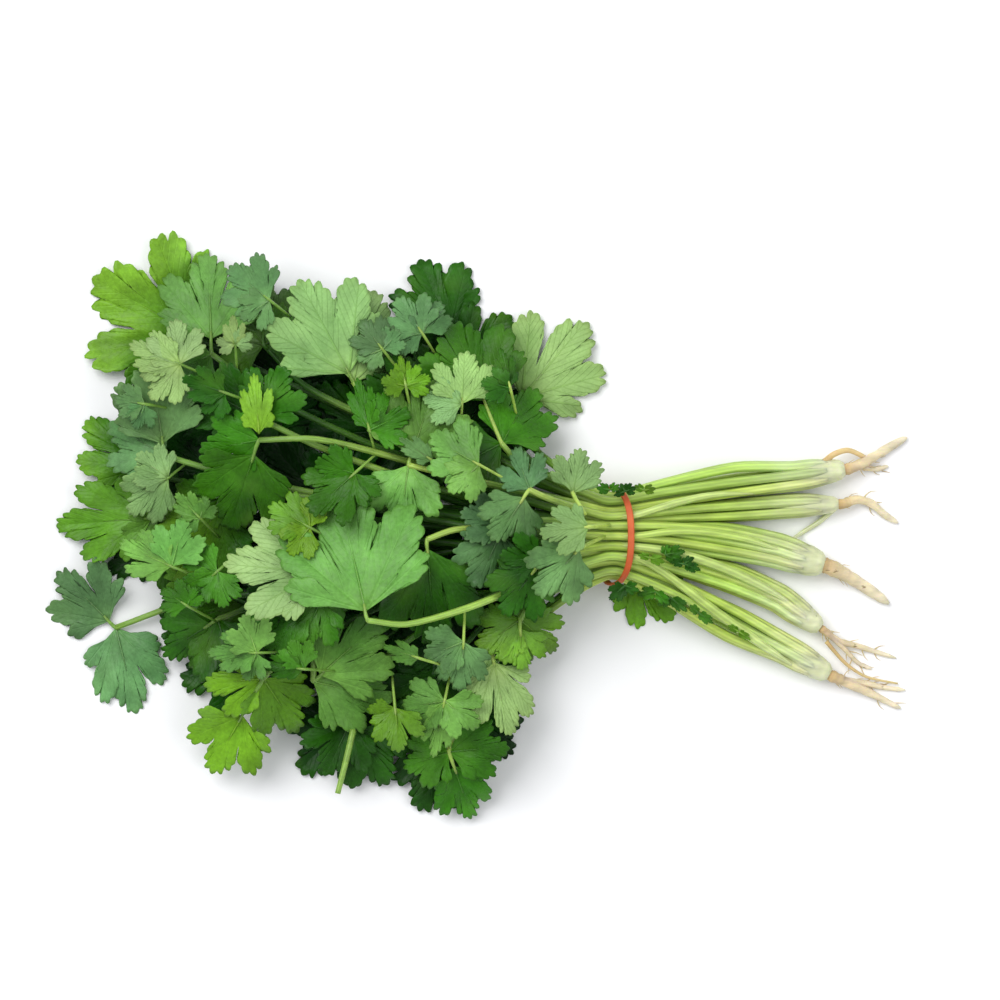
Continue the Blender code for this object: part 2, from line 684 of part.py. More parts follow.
def band_solid():
    """The band: a ring of flat rubber, with its lowest facet on the floor."""
    mesh = bpy.data.meshes.new("rubber_band")
    bm = bmesh.new()
    bmesh.ops.create_cone(
        bm, cap_ends=False, segments=BAND_SIDES, radius1=1, radius2=1, depth=BAND_WIDTH
    )
    power = 2 / BAND_ROUNDNESS
    for vertex in bm.verts:
        angle = math.atan2(vertex.co.y, vertex.co.x) + math.pi / BAND_SIDES
        side, up = math.cos(angle), math.sin(angle)
        y = math.copysign(abs(side) ** power, side)
        s = math.copysign(abs(up) ** power, up)
        lean = BAND_SIDE_X + BAND_TOP_X / 2 * s + (BAND_TOP_X / 2 - BAND_SIDE_X) * s * s
        vertex.co = (
            (vertex.co.z + lean) * MM,
            BAND_HALF_WIDTH * y * MM,
            (BAND_HALF_HEIGHT * (1 + s) + BAND_THICKNESS) * MM,
        )
    bmesh.ops.recalc_face_normals(bm, faces=bm.faces)
    bm.to_mesh(mesh)
    bm.free()
    made = placed("rubber_band", mesh, "rubber_band")
    wall = made.modifiers.new("thickness", "SOLIDIFY")
    wall.thickness = BAND_THICKNESS * MM
    wall.offset = 1
    applied(made)
    lowest = min(vertex.co.z for vertex in made.data.vertices)
    for vertex in made.data.vertices:
        vertex.co.z -= lowest
    return made


def main():
    for made in list(bpy.data.objects):
        bpy.data.objects.remove(made)
    stems, sides = lay_bunch()
    made = [leaf_solid(f"leaf_{i + 1:02d}", stem) for i, stem in enumerate(stems)]
    made += [leaf_solid(f"side_leaf_{i + 1}", leaf) for i, leaf in enumerate(sides)]
    made.append(floor_leaf_solid())
    for plant, own in split_plants(stems):
        made += [plant_solid(plant, own), root_solid(plant)]
    made.append(band_solid())
    bunch = bpy.data.collections.new("coriander_bunch")
    bpy.context.scene.collection.children.link(bunch)
    for piece in made:
        bpy.context.scene.collection.objects.unlink(piece)
        bunch.objects.link(piece)


main()
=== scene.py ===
import math
import random
from collections import namedtuple

import bpy
import numpy as np
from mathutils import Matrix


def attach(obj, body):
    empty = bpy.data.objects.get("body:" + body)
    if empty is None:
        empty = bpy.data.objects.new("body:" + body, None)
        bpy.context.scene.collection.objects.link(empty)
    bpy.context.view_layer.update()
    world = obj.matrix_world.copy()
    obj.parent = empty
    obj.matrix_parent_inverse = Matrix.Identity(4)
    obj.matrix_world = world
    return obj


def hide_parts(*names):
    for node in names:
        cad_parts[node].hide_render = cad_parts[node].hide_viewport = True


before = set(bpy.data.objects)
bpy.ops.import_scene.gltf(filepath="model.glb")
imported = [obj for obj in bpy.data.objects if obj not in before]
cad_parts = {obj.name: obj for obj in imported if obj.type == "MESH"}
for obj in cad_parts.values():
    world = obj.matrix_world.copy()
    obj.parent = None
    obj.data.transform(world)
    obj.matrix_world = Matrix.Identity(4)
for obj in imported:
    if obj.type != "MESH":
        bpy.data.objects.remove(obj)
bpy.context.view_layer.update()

mm = 0.001
seed = 1
offTable = 0.05  # millimetres that everything at least stays off the table

# Where everything lies, in millimetres: +X runs from the leaves to the roots, z = 0 is the table.
neck = {
    "rows": (5, 8, 9, 9, 8, 5),  # stems in each row under the band, the lowest row first
    "stemPitch": 3.3, "rowPitch": 3.25, "firstRowZ": 3.28, "leftX": 0.8, "rightX": 5.2,
    "freeToX": -14.0,
}
stemSize = {"neck": 1.45, "crown": 1.6, "leaf": 0.95, "rachis": 0.85}  # radii
bandSize = {
    "halfWidth": 15.1, "halfHeight": 10.3, "roundness": 2.6, "thickness": 1.1, "width": 2.6,
    "topX": 9.0, "sideX": 3.0,
}
Plant = namedtuple("Plant", "name stems x y heading radius bow")
plants = (
    Plant("a", 8, 79.0, 21.8, 8, 4.3, (5.0, 0.0)),
    Plant("b", 6, 77.0, 10.4, 3, 3.4, (0.0, 1.5)),
    Plant("c", 12, 72.2, -9.6, -17, 5.3, (1.0, 1.0)),
    Plant("d", 10, 71.0, -30.0, -35, 4.1, (1.5, 1.5)),
    Plant("e", 8, 74.0, -45.2, -29, 4.3, (1.5, 5.0)),
)
crown = {
    "profile": ((0, 0.5), (1.5, 0.78), (5, 0.98), (10, 1.0), (17, 0.85), (24, 0.6)),
    "mouth": 17.0,
    "stemRings": (1.0, 0.65, 0.3, 0.0),  # shares of the way from the band
    "leaving": (0.02, 0.6), "inset": 0.7,
    "inner": 0.8,  # radius of the ring of stems in the middle
    "flatten": 1.6,
    "sunk": ((7.0, 0.45, 1.1),),  # distance back, share of its offset, radius
    "leftEnd": 2.3,
}
Root = namedtuple("Root", "points radius tip")
rootPaths = {
    "a": (
        Root(((86.5, 24.6), (93.5, 28.8), (99.5, 32.2)), 1.9, 1.1),
        Root(((84.5, 22.4), (89.5, 21.8), (93.4, 22.8)), 1.2, 0.7),
    ),
    "b": (Root(((83.0, 11.8), (88.0, 10.4), (92.0, 7.0), (96.5, 4.2)), 1.7, 1.0),),
    "c": (Root(((79.0, -12.6), (86.0, -16.9), (93.6, -22.2)), 2.7, 1.5),),
    "d": (
        Root(((77.0, -34.3), (83.3, -36.0), (89.6, -38.0), (96.0, -40.0)), 1.3, 0.6),
        Root(((79.0, -37.0), (83.5, -41.5), (88.0, -43.5)), 0.9, 0.6),
    ),
    "e": (
        Root(((80.5, -48.2), (87.4, -51.4), (93.0, -54.2), (97.4, -56.4)), 1.9, 0.8),
        Root(((81.0, -47.4), (86.0, -48.2), (92.0, -49.6), (99.0, -50.4)), 1.2, 0.7),
    ),
}

# The margin of a leaflet as the frame has it: (angle from the midrib, share of the length).
halfMargin = (
    (0, 1.0), (6, 0.87), (12, 0.95), (22, 0.64), (33, 0.92),
    (44, 0.84), (51, 0.66), (60, 0.72), (64, 0.3),
)
bladeFit = {
    "hub": 0.27, "thickness": 0.7,
    "step": 3.5,  # spacing of the spots that are kept clear of what lies below
    "wave": (0.02, 0.05),
    "habit": ((-0.1, 0.2), (-0.15, 0.15), (-0.3, -0.05), (-0.25, 0.15), (-0.15, 0.15)),
    "stiffness": np.array((0.0, 4.0, 4.0, 12.0, 12.0, 12.0)),
    "leastBends": np.array((-0.5, -0.3, -0.35, -0.2, -0.15)),
    "mostBends": np.array((0.2, 0.3, 0.0, 0.15, 0.15)), "clear": 0.6,
    "weights": (4.0, 0.15),  # of a spot that falls short, and of one that doesn't
    "rounds": 6,
}
layFit = {"tries": 12, "shortBy": 0.1, "close": 0.02}
pileGrid = {"cell": 1.0, "corner": (-215.0, -115.0), "cells": (320, 230)}
knots = np.array((0.0, 0.16, 0.34, 0.56, 0.8, 1.0))  # along a stem from the neck to its leaf

# Leaves from the lowest up: where the blades meet, heading of the stem there, stalk under the
# first blade, tone of the upper faces, then the blades as (heading, length, breadth).
Leaf = namedtuple("Leaf", "x y heading stalk tone blades")
underLeaf = {
    "count": 13,
    "fan": 66,  # how far they spread to either side
    "radii": (112, 72), "shorter": 0.48, "back": 20, "stalk": 10,
    "blades": ((0, 26, 1.0), (72, 22, 1.0), (-72, 22, 1.0)),
}
upperLeaves = (
    Leaf(-131, 64, 150, 3, "bright", ((150, 38, 1.1),)),
    Leaf(-110, 62, 118, 3, "olive", ((95, 20, 1.0), (28, 17, 1.0), (166, 18, 1.0))),
    Leaf(-127, 59, 135, 5, "light", ((93, 29, 1.0), (206, 19, 1.0))),
    Leaf(-133, 12, 172, 4, "blue", ((168, 28, 0.9), (215, 20, 0.9))),
    Leaf(-148, 20, 165, 3, "bright", ((138, 25, 0.9),)),
    Leaf(-144, 6, 180, 3, "bright", ((184, 32, 0.7), (236, 17, 0.9))),
    Leaf(-116, -22, 190, 3, "bright", ((160, 26, 1.0), (215, 20, 0.9))),
    Leaf(-159, -30, 212, 3, "blue", ((135, 24, 0.9), (284, 29, 0.75))),
    Leaf(-125, -27, 215, 3, "deep", ((212, 19, 1.0), (286, 23, 1.0))),
    Leaf(-110, -46, 245, 14, "bright", ((240, 22, 1.0), (186, 20, 0.9), (302, 21, 1.0))),
    Leaf(-82, -60, 280, 3, "deep", ((302, 22, 1.0), (245, 20, 1.0))),
    Leaf(-50, -70, 272, 5, "mid", ((288, 19, 0.9), (200, 16, 1.0), (6, 20, 0.9))),
    Leaf(-36, -38, 275, 3, "pale", ((281, 25, 0.7), (243, 21, 0.7))),
    Leaf(-94, -47, 305, 3, "light", ((42, 28, 1.0), (-14, 27, 0.9))),
    Leaf(-29, 42, 70, 4, "pale", ((50, 33, 0.9),)),
    Leaf(-81, 50, 105, 3, "pale", ((118, 35, 0.9), (78, 31, 0.9))),
    Leaf(-57, 45, 115, 3, "deep", ((168, 19, 1.0), (95, 18, 0.9))),
    Leaf(-111, 38, 150, 3, "deep", ((152, 22, 1.0), (62, 19, 1.0))),
    Leaf(-142, 26, 160, 4, "blue", ((99, 28, 0.9), (150, 22, 1.0))),
    Leaf(-124, 13, 190, 3, "bright", ((246, 29, 0.9), (200, 18, 0.9))),
    Leaf(-111, 31, 194, 5, "mid", ((250, 26, 1.0), (190, 20, 0.9))),
    Leaf(-91, -20, 190, 3, "mid", ((197, 25, 0.9), (247, 18, 1.0))),
    Leaf(-88, -12, 178, 3, "pale", ((175, 32, 0.85),)),
    Leaf(-33, 30, 118, 15, "mid", ((112, 28, 1.1), (60, 22, 1.0), (207, 25, 0.9))),
    Leaf(-63, 23, 165, 3, "light", ((72, 26, 1.0), (262, 21, 1.0))),
    Leaf(-27, -27, 260, 3, "bright", ((272, 14, 1.0), (318, 16, 1.0), (216, 17, 1.0))),
    Leaf(-57, -1, 215, 3, "mid", ((274, 33, 0.9),)),
    Leaf(-76, -27, 155, 3, "light", ((103, 40, 1.0),)),
    Leaf(-32, 4, 200, 3, "blue", ((246, 20, 1.0), (168, 15, 1.0))),
    Leaf(-24, 15, 150, 3, "blue", ((236, 18, 1.0), (110, 15, 0.9))),
    Leaf(-20, -8, 205, 3, "deep", ((232, 19, 1.0), (175, 14, 1.0))),
)
sideLeaves = (
    Leaf(-8, -4, 205, 8, "blue", ((228, 21, 0.9),)),
    Leaf(-5, 3, 185, 6, "pale", ((186, 16, 0.8),)),
    Leaf(-10, 14, 120, 7, "pale", ((78, 15, 1.0),)),
)
floorLeaf = Leaf(9, -12, 0, 0, "bright", ((-50, 22, 0.9),))


def between(a, b, t):
    return a + (b - a) * t


def inPlan(degrees):
    angle = math.radians(degrees)
    return np.array((math.cos(angle), math.sin(angle)))


def sweep(start, end, leaving, arriving, t):
    # values at shares t of a smooth curve with these end tangents
    t2, t3 = t * t, t * t * t
    return (
        (2 * t3 - 3 * t2 + 1) * start
        + (t3 - 2 * t2 + t) * leaving
        + (3 * t2 - 2 * t3) * end
        + (t3 - t2) * arriving
    )


def smoothThrough(at, spots, values):
    # a smooth curve through values given at spots, read at "at"
    slopes = np.gradient(values, spots)
    i = np.clip(np.searchsorted(spots, at) - 1, 0, len(spots) - 2)
    gap = spots[i + 1] - spots[i]
    share = (at - spots[i]) / gap
    return sweep(values[i], values[i + 1], gap * slopes[i], gap * slopes[i + 1], share)


def marginPoints():
    near = [(-angle, reach) for angle, reach in reversed(halfMargin[1:])]
    angles, reaches = zip((0, 0.0), *near, *halfMargin)
    return np.radians(angles), np.array(reaches)


def fanShares(length):
    count = len(marginPoints()[0])
    steps = max(3, int(length / bladeFit["step"]))
    rows = []
    for i in range(count):
        for along in np.linspace(0, 1, steps, endpoint=False):
            for out in np.linspace(0, 1, 3 * steps):
                row = np.zeros(count + 1)
                row[0] = 1 - out
                row[1 + i] += out * (1 - along)
                row[1 + (i + 1) % count] += out * along
                rows.append(row)
    return np.array(rows)


def raiseTo(values, moves, rows, target, within, tries=120):
    # moves the values by as little as will do until no row falls short of its target
    scale = 1 / np.maximum(np.abs(rows).max(0), 1e-6) ** 2
    for _ in range(tries):
        short = target - rows @ values
        worst = int(short.argmax())
        if short[worst] < layFit["close"]:
            break
        step = moves[worst] * scale
        values = within(values + step * short[worst] / max(float(step @ moves[worst]), 1e-9))
    return values


def withinBends(values):
    bends = np.clip(values[1:], bladeFit["leastBends"], bladeFit["mostBends"])
    return np.append(values[0], bends)


class Blade:
    # one lobed leaflet: its plan is fixed, and its bends are fitted to what lies under it
    def __init__(self, node, stalk, heading, length, breadth, draws):
        angles, reaches = marginPoints()
        x = np.append(bladeFit["hub"], reaches * np.cos(angles))
        y = np.append(0, reaches * np.sin(angles)) * breadth
        self.node, self.stalk, self.length, self.breadth = node, stalk, length, breadth
        self.along, self.across = inPlan(heading), inPlan(heading + 90)
        self.shareX, self.shareY = x, y
        self.plan = self.planOf(x, y)
        self.wave = length * draws.uniform(*bladeFit["wave"]) * (x * x + y * y)
        self.wave *= np.sin(4 * np.append(0, angles) + draws.uniform(0, 2 * math.pi))
        self.terms = np.stack(
            (np.ones_like(x), x + stalk / length, y, x * x, y * y, x * y), 1
        ) * np.array((1, *[length] * 5))
        self.habit = np.array([draws.uniform(*span) for span in bladeFit["habit"]])
        self.shares = fanShares(length)
        self.spots = self.shares @ self.plan
        self.bends = self.habit

    def planOf(self, x, y):
        reach = x[:, None] * self.along + y[:, None] * self.across
        return self.node + self.stalk * self.along + self.length * reach

    def need(self, pile, loft=0.0):
        return pile.under(self.spots) + bladeFit["clear"] + bladeFit["thickness"] / 2 + loft

    def heights(self, nodeZ):
        return self.terms @ np.append(nodeZ, self.bends) + self.wave

    def fit(self, need, nodeZ=None):
        rows = self.shares @ self.terms
        target = need - self.shares @ self.wave
        free = np.ones(6)
        start = np.append(np.median(target) if nodeZ is None else nodeZ, self.habit)
        if nodeZ is not None:
            free[0] = 0
        values = start
        hold = np.diag(bladeFit["stiffness"]) * len(target)
        for _ in range(bladeFit["rounds"]):
            miss = target - rows @ values
            weights = np.where(miss > 0, *bladeFit["weights"])[:, None]
            moves = rows * free
            lhs = moves.T @ (weights * moves) + hold + np.diag(1 - free)
            rhs = moves.T @ (weights[:, 0] * (target - rows @ start))
            values = withinBends(start + free * np.linalg.solve(lhs, rhs))
        values = raiseTo(values, rows * free, rows, target, withinBends)
        self.bends = values[1:]
        return float(values[0]), float((target - rows @ values).max())


def unitRows(rows):
    return rows / np.maximum(np.linalg.norm(rows, axis=1), 1e-6)[:, None]


def straightPath(points, spots, at):
    # the points are given at the spots, and read at "at"
    return np.column_stack([np.interp(at, spots, axis) for axis in points.T])


def closeSteps(points, radii, spacing=0.7):
    lengths = np.linalg.norm(np.diff(points, axis=0), axis=1)
    far = np.append(0, np.cumsum(lengths))
    steps = np.linspace(0, far[-1], int(far[-1] / spacing) + 2)
    return straightPath(points, far, steps), np.interp(steps, far, radii)


class Pile:
    # height of the top of what has been laid so far, on a grid seen from above
    def __init__(self):
        self.top = np.full(pileGrid["cells"], offTable - bladeFit["clear"])

    def cells(self, points, shift=(0, 0)):
        found = np.floor((points[:, :2] - pileGrid["corner"]) / pileGrid["cell"]).astype(int) + shift
        return tuple(np.clip(found, 0, np.array(pileGrid["cells"]) - 1).T)

    def under(self, points):
        return self.top[self.cells(points)]

    def lay(self, points, heights):
        for i in (-1, 0, 1):
            for j in (-1, 0, 1):
                np.maximum.at(self.top, self.cells(points, (i, j)), heights)

    def layTube(self, points, radii, clearOf=None):
        points, radii = closeSteps(points, radii)
        if clearOf is not None:
            kept = np.linalg.norm(points[:, :2] - clearOf, axis=1) > stemLay["clearOf"]
            points, radii = points[kept], radii[kept]
        ahead = unitRows(np.gradient(points, axis=0)[:, :2])
        for side in (-1, 0, 1):
            beside = points[:, :2] + side * radii[:, None] * ahead[:, ::-1] * (1, -1)
            self.lay(beside, points[:, 2] + radii)

    def layBlades(self, blades, nodeZ):
        for blade in blades:
            self.lay(blade.spots, blade.shares @ blade.heights(nodeZ) + bladeFit["thickness"] / 2)


def underLeaves():
    leaves = []
    for i in range(underLeaf["count"]):
        share = i / (underLeaf["count"] - 1)
        fan = 180 + between(-underLeaf["fan"], underLeaf["fan"], share)
        shorter = 1 - underLeaf["shorter"] * abs(math.sin(math.radians(fan)))
        x, y = underLeaf["radii"][i % 2] * shorter * inPlan(fan)
        blades = tuple((fan + turn, *shape) for turn, *shape in underLeaf["blades"])
        # the lowest leaves take the darkest tone as painted shade for lying under the rest
        leaves.append(Leaf(x - underLeaf["back"], y, fan, underLeaf["stalk"], "deep", blades))
    return leaves[::2] + leaves[1::2]


def neckSlots():
    rows = []
    for i, stems in enumerate(neck["rows"]):
        offsets = [(k - (stems - 1) / 2) * neck["stemPitch"] for k in range(stems)]
        z = neck["firstRowZ"] + i * neck["rowPitch"]
        rows.append([np.array((neck["leftX"], y, z)) for y in offsets])
    return rows


def matchSlots():
    leaves = [*underLeaves(), *upperLeaves]
    pairs = []
    for row in neckSlots():
        laid = leaves[len(pairs) : len(pairs) + len(row)]
        order = sorted(range(len(row)), key=lambda k: math.atan2(laid[k].y, 40 - laid[k].x))
        slotOf = dict(zip(order, row))
        pairs += [(laid[k], slotOf[k]) for k in range(len(row))]
    return pairs


stemLay = {
    "leaving": (0.03, 0.8),  # how far it turns aside as it leaves the neck, and how straight it runs
    "arriving": 0.7, "steps": 140,
    "clearOf": 5.0,  # near its own leaf it needn't stay clear
    "stalkBack": 2.0, "stalkIn": 2.5,
}


class LeafyStem:
    # one stem from the neck to its leaf, laid on the pile
    def __init__(self, leaf, slot, pile, draws, loft):
        self.leaf, self.slot = leaf, slot
        self.planNode = np.array((leaf.x, leaf.y))
        self.blades = [
            Blade(self.planNode, 0.0 if i else leaf.stalk, *shape, draws)
            for i, shape in enumerate(leaf.blades)
        ]
        nodeZ = max(blade.fit(blade.need(pile, loft))[0] for blade in self.blades)
        for _ in range(layFit["tries"]):
            nodeZ = self.route(pile, nodeZ)
            trial = Pile()
            trial.top[:] = pile.top
            trial.layTube(*self.whole(), clearOf=self.planNode)
            short = max(blade.fit(blade.need(trial, loft), nodeZ)[1] for blade in self.blades)
            if short < layFit["shortBy"]:
                break
            nodeZ += short
        self.nodeZ = nodeZ
        pile.layTube(*self.whole())
        pile.layBlades(self.blades, nodeZ)

    def plan(self, t):
        start = self.slot[:2]
        far = np.linalg.norm(self.planNode - start)
        aside, straight = stemLay["leaving"]
        leaving = np.array((-1.0, aside * self.slot[1])) * far * straight
        arriving = inPlan(self.leaf.heading) * far * stemLay["arriving"]
        return sweep(start, self.planNode, leaving, arriving, t[:, None])

    def radius(self, t):
        return between(stemSize["neck"], stemSize["leaf"], t)

    def route(self, pile, nodeZ):
        t = np.linspace(0.0, 1, stemLay["steps"])
        spots = straightPath(self.plan(knots), knots, t)
        rows = straightPath(np.eye(len(knots)), knots, t)
        need = pile.under(spots) + bladeFit["clear"] + self.radius(t)
        need[spots[:, 0] > neck["freeToX"]] = 0.0
        start = between(self.slot[2], nodeZ, knots * knots * (3 - 2 * knots))
        moves = rows.copy()
        moves[:, 0] = 0.0
        self.knotZ = raiseTo(start, moves, rows, need, np.copy)
        return float(self.knotZ[-1])

    def whole(self):
        points = np.column_stack((self.plan(knots), self.knotZ))
        return points, self.radius(knots)

    def stalkPath(self):
        # from just before the node into the first blade
        node = np.append(self.planNode, self.nodeZ)
        back = np.append(self.plan(knots)[-2], self.knotZ[-2]) - node
        start = node + back / np.linalg.norm(back) * stemLay["stalkBack"]
        return stalkInto(self.blades[0], node, start)


def stalkInto(blade, node, start):
    reach = blade.stalk + stemLay["stalkIn"]
    end = node + np.append(reach * blade.along, blade.bends[0] * reach)
    return np.array((start, node, end))


sideFit = {"footOver": 5, "tucked": 0.15}


class SideLeaf:
    # a small leaf with a short stalk of its own, lying on whatever is there
    def __init__(self, leaf, pile, draws):
        self.leaf = leaf
        node = np.array((leaf.x, leaf.y))
        self.blades = [Blade(node, 0.0, *shape, draws) for shape in leaf.blades]
        foot = node - leaf.stalk * inPlan(leaf.heading)
        t = np.linspace(0, 1, 20)
        rows = np.column_stack((1 - t, t))
        need = pile.under(rows @ (foot, node)) + bladeFit["clear"] + stemSize["rachis"]
        footZ, self.nodeZ = raiseTo(need[[0, -1]], rows, rows, need, np.copy)
        for _ in range(layFit["tries"]):
            short = max(blade.fit(blade.need(pile), self.nodeZ)[1] for blade in self.blades)
            if short < layFit["shortBy"]:
                break
            self.nodeZ += short
        pile.layBlades(self.blades, self.nodeZ)
        self.foot = np.append(foot, footZ)
        self.top = np.append(node, self.nodeZ)
        pile.layTube(np.array((self.foot, self.top)), np.full(2, stemSize["rachis"]))

    def stalkPath(self):
        # its cut end is tucked into what it lies on
        foot = self.foot.copy()
        foot[2] = min(foot[2], self.nodeZ + sideFit["footOver"])
        return stalkInto(self.blades[0], self.top, foot + (foot - self.top) * sideFit["tucked"])


def crownSlots(plant, stems):
    # where each stem sits in the crown: some in the middle, the others in a ring round them
    at = np.array([stem.slot[1:] for stem in stems])
    at = (at - at.mean(0)) / (1, crown["flatten"])
    inner = len(stems) // 5
    order = np.argsort(np.linalg.norm(at, axis=1))
    slots = {}
    for k, i in enumerate(order[:inner]):
        slots[int(i)] = crown["inner"] * (inner > 1) * inPlan(360 * k / inner)
    angles = np.arctan2(at[:, 1], at[:, 0])
    ring = sorted(map(int, order[inner:]), key=lambda i: angles[i])
    step = 2 * math.pi / len(ring)
    turn = np.mean([angles[i] - k * step for k, i in enumerate(ring)])
    for k, i in enumerate(ring):
        angle = turn + k * step
        slots[i] = (plant.radius - crown["inset"]) * np.array((math.cos(angle), math.sin(angle)))
    return [slots[i] for i in range(len(stems))]


def crownAxisZ(plant):
    return plant.radius - crown["inset"] + stemSize["crown"] + offTable


def crownPoint(plant, back, offset=(0.0, 0.0)):
    at = np.array((plant.x, plant.y)) - back * inPlan(plant.heading)
    at = at + offset[0] * inPlan(plant.heading + 90)
    return np.append(at, crownAxisZ(plant) + offset[1])


def rightOfNeck(plant, stem, slot):
    # a stem from the band to the crown's mouth
    mouth = crownPoint(plant, crown["mouth"], slot)
    start = stem.slot + (neck["rightX"] - neck["leftX"], 0, 0)
    far = np.linalg.norm(mouth - start)
    aside, straight = crown["leaving"]
    leaving = np.array((1.0, aside * stem.slot[1], 0)) * far * straight
    arriving = np.append(inPlan(plant.heading), 0) * far * straight
    bow = plant.bow[0 if slot[0] > 0 else 1] * slot[0]
    arriving = arriving - bow * np.append(inPlan(plant.heading + 90), 0)
    shares = np.array(crown["stemRings"])
    return sweep(start, mouth, leaving, arriving, shares[:, None]), shares


def wholeStem(plant, stem, slot, sheath):
    # from inside the crown, through its mouth and the band, to the leaf
    right, shares = rightOfNeck(plant, stem, slot)
    left, leftRadii = stem.whole()
    inside = [crownPoint(plant, back, share * slot) for back, share, _ in sheath]
    radii = between(stemSize["neck"], stemSize["crown"], shares)
    radii = np.concatenate(([radius for *_, radius in sheath], radii, leftRadii))
    return np.vstack((inside, right, left)), radii


def splitPlants(stems):
    ordered = sorted(stems, key=lambda stem: (-stem.slot[1], stem.slot[2]))
    taken = 0
    for plant in plants:
        yield plant, ordered[taken : taken + plant.stems]
        taken += plant.stems


def layBand(pile):
    reach = bandSize["halfWidth"] + bandSize["thickness"]
    top = 2 * bandSize["halfHeight"] + 2 * bandSize["thickness"]
    over, step, steps = 2, 0.7, 60
    across = np.arange(bandSize["sideX"] - over, bandSize["topX"] + over, step)
    spots = np.array([(x, y) for x in across for y in np.linspace(-1, 1, steps) * reach])
    pile.lay(spots, np.full(len(spots), top))


def layBunch():
    pile = Pile()
    stems = []
    for i, (leaf, slot) in enumerate(matchSlots()):
        draws = random.Random(seed * 1000 + i)
        loft = 0.0 if i < underLeaf["count"] else draws.uniform(0, 1.0)
        stems.append(LeafyStem(leaf, slot, pile, draws, loft))
    for plant, own in splitPlants(stems):
        for stem, slot in zip(own, crownSlots(plant, own)):
            points, radii = wholeStem(plant, stem, slot, crown["sunk"])
            last = points[-1] - points[-2]
            points[-1] -= last / np.linalg.norm(last) * crown["leftEnd"]
            pile.layTube(points, radii)
    layBand(pile)
    sides = [SideLeaf(leaf, pile, random.Random(seed * 77 + leaf.x)) for leaf in sideLeaves]
    return stems, sides, pile


def plug(tree, node, sockets):
    # each socket takes a value or a link
    for key, value in sockets.items():
        if isinstance(value, bpy.types.NodeSocket):
            tree.links.new(value, node.inputs[key])
        else:
            node.inputs[key].default_value = value
    return node


def addNode(tree, kind, sockets=None, **settings):
    node = tree.nodes.new("ShaderNode" + kind)
    for name, value in settings.items():
        setattr(node, name, value)
    return plug(tree, node, sockets or {})


def doMath(tree, operation, *values, clamp=False):
    node = addNode(tree, "Math", dict(enumerate(values)), operation=operation, use_clamp=clamp)
    return node.outputs[0]


def vectorMath(tree, operation, first, second):
    other = 3 if operation == "SCALE" else 1
    return addNode(tree, "VectorMath", {0: first, other: second}, operation=operation).outputs[0]


def toRange(tree, value, start, end, low, high, kind="LINEAR"):
    sockets = {0: value, 1: start, 2: end, 3: low, 4: high}
    return addNode(tree, "MapRange", sockets, interpolation_type=kind).outputs[0]


def softStep(tree, value, start, end):
    # 1 below start, 0 above end
    return toRange(tree, value, start, end, 1.0, 0.0, "SMOOTHSTEP")


def mixColours(tree, share, first, second):
    return addNode(tree, "Mix", {0: share, 6: first, 7: second}, data_type="RGBA").outputs[2]


def newGroup(name, inputs, outputs):
    group = bpy.data.node_groups.new(name, "ShaderNodeTree")
    for label, kind in inputs.items():
        group.interface.new_socket(label, in_out="INPUT", socket_type="NodeSocket" + kind)
    for label in outputs:
        group.interface.new_socket(label, in_out="OUTPUT", socket_type="NodeSocketFloat")
    given = group.nodes.new("NodeGroupInput").outputs
    return group, given, group.nodes.new("NodeGroupOutput")


veinLook = {
    "lobes": (37.0, 60.0),  # angles of the side veins from the midrib
    "mainWidth": 0.02,  # shares of the leaflet's length
    "mainEdge": (0.35, 1.0), "taperTo": 1.05, "branchSpacing": 0.105, "branchLean": 1.75,
    "branchEdge": (0.0034, 0.0136), "branchFrom": (0.1, 0.22), "branchShare": 0.6,
}


def veinGroup():
    # the veins fan out from the leaflet's base, and each has side branches towards the teeth
    group, given, out = newGroup("leafVeins", {"Place": "Vector"}, ("Veins",))
    place = addNode(group, "SeparateXYZ", {0: given["Place"]}).outputs
    reach = addNode(group, "VectorMath", {0: given["Place"]}, operation="LENGTH").outputs["Value"]
    angle = doMath(group, "ARCTAN2", doMath(group, "ABSOLUTE", place["Y"]), place["X"])
    turn = angle
    for lobe in veinLook["lobes"]:
        own = doMath(group, "ABSOLUTE", doMath(group, "SUBTRACT", angle, math.radians(lobe)))
        turn = doMath(group, "MINIMUM", turn, own)
    along = doMath(group, "MULTIPLY", reach, doMath(group, "COSINE", turn))
    aside = doMath(group, "MULTIPLY", reach, doMath(group, "SINE", turn))
    taper = doMath(group, "SUBTRACT", veinLook["taperTo"], reach, clamp=True)
    width = doMath(group, "MULTIPLY", taper, veinLook["mainWidth"])
    main = softStep(group, doMath(group, "DIVIDE", aside, width), *veinLook["mainEdge"])
    lean = doMath(group, "MULTIPLY", aside, veinLook["branchLean"])
    step = doMath(group, "SUBTRACT", along, lean)
    near = doMath(group, "PINGPONG", step, veinLook["branchSpacing"] / 2)
    branch = softStep(group, near, *veinLook["branchEdge"])
    started = doMath(group, "SUBTRACT", 1.0, softStep(group, step, *veinLook["branchFrom"]))
    branch = doMath(group, "MULTIPLY", branch, started)
    branch = doMath(group, "MULTIPLY", branch, veinLook["branchShare"])
    plug(group, out, {"Veins": doMath(group, "MAXIMUM", main, branch)})
    return group


def mottleGroup():
    # uneven colour and a fine leathery relief, on the piece's own coordinates
    inputs = {"Place": "Vector", "Size": "Float"}
    group, given, out = newGroup("leafMottle", inputs, ("Patches", "Grain"))
    fine = doMath(group, "MULTIPLY", given["Size"], 9.0)
    for label, size, detail in (("Patches", given["Size"], 3.0), ("Grain", fine, 2.0)):
        sockets = {"Vector": given["Place"], "Scale": size, "Detail": detail}
        plug(group, out, {label: addNode(group, "TexNoise", sockets).outputs[0]})
    return group


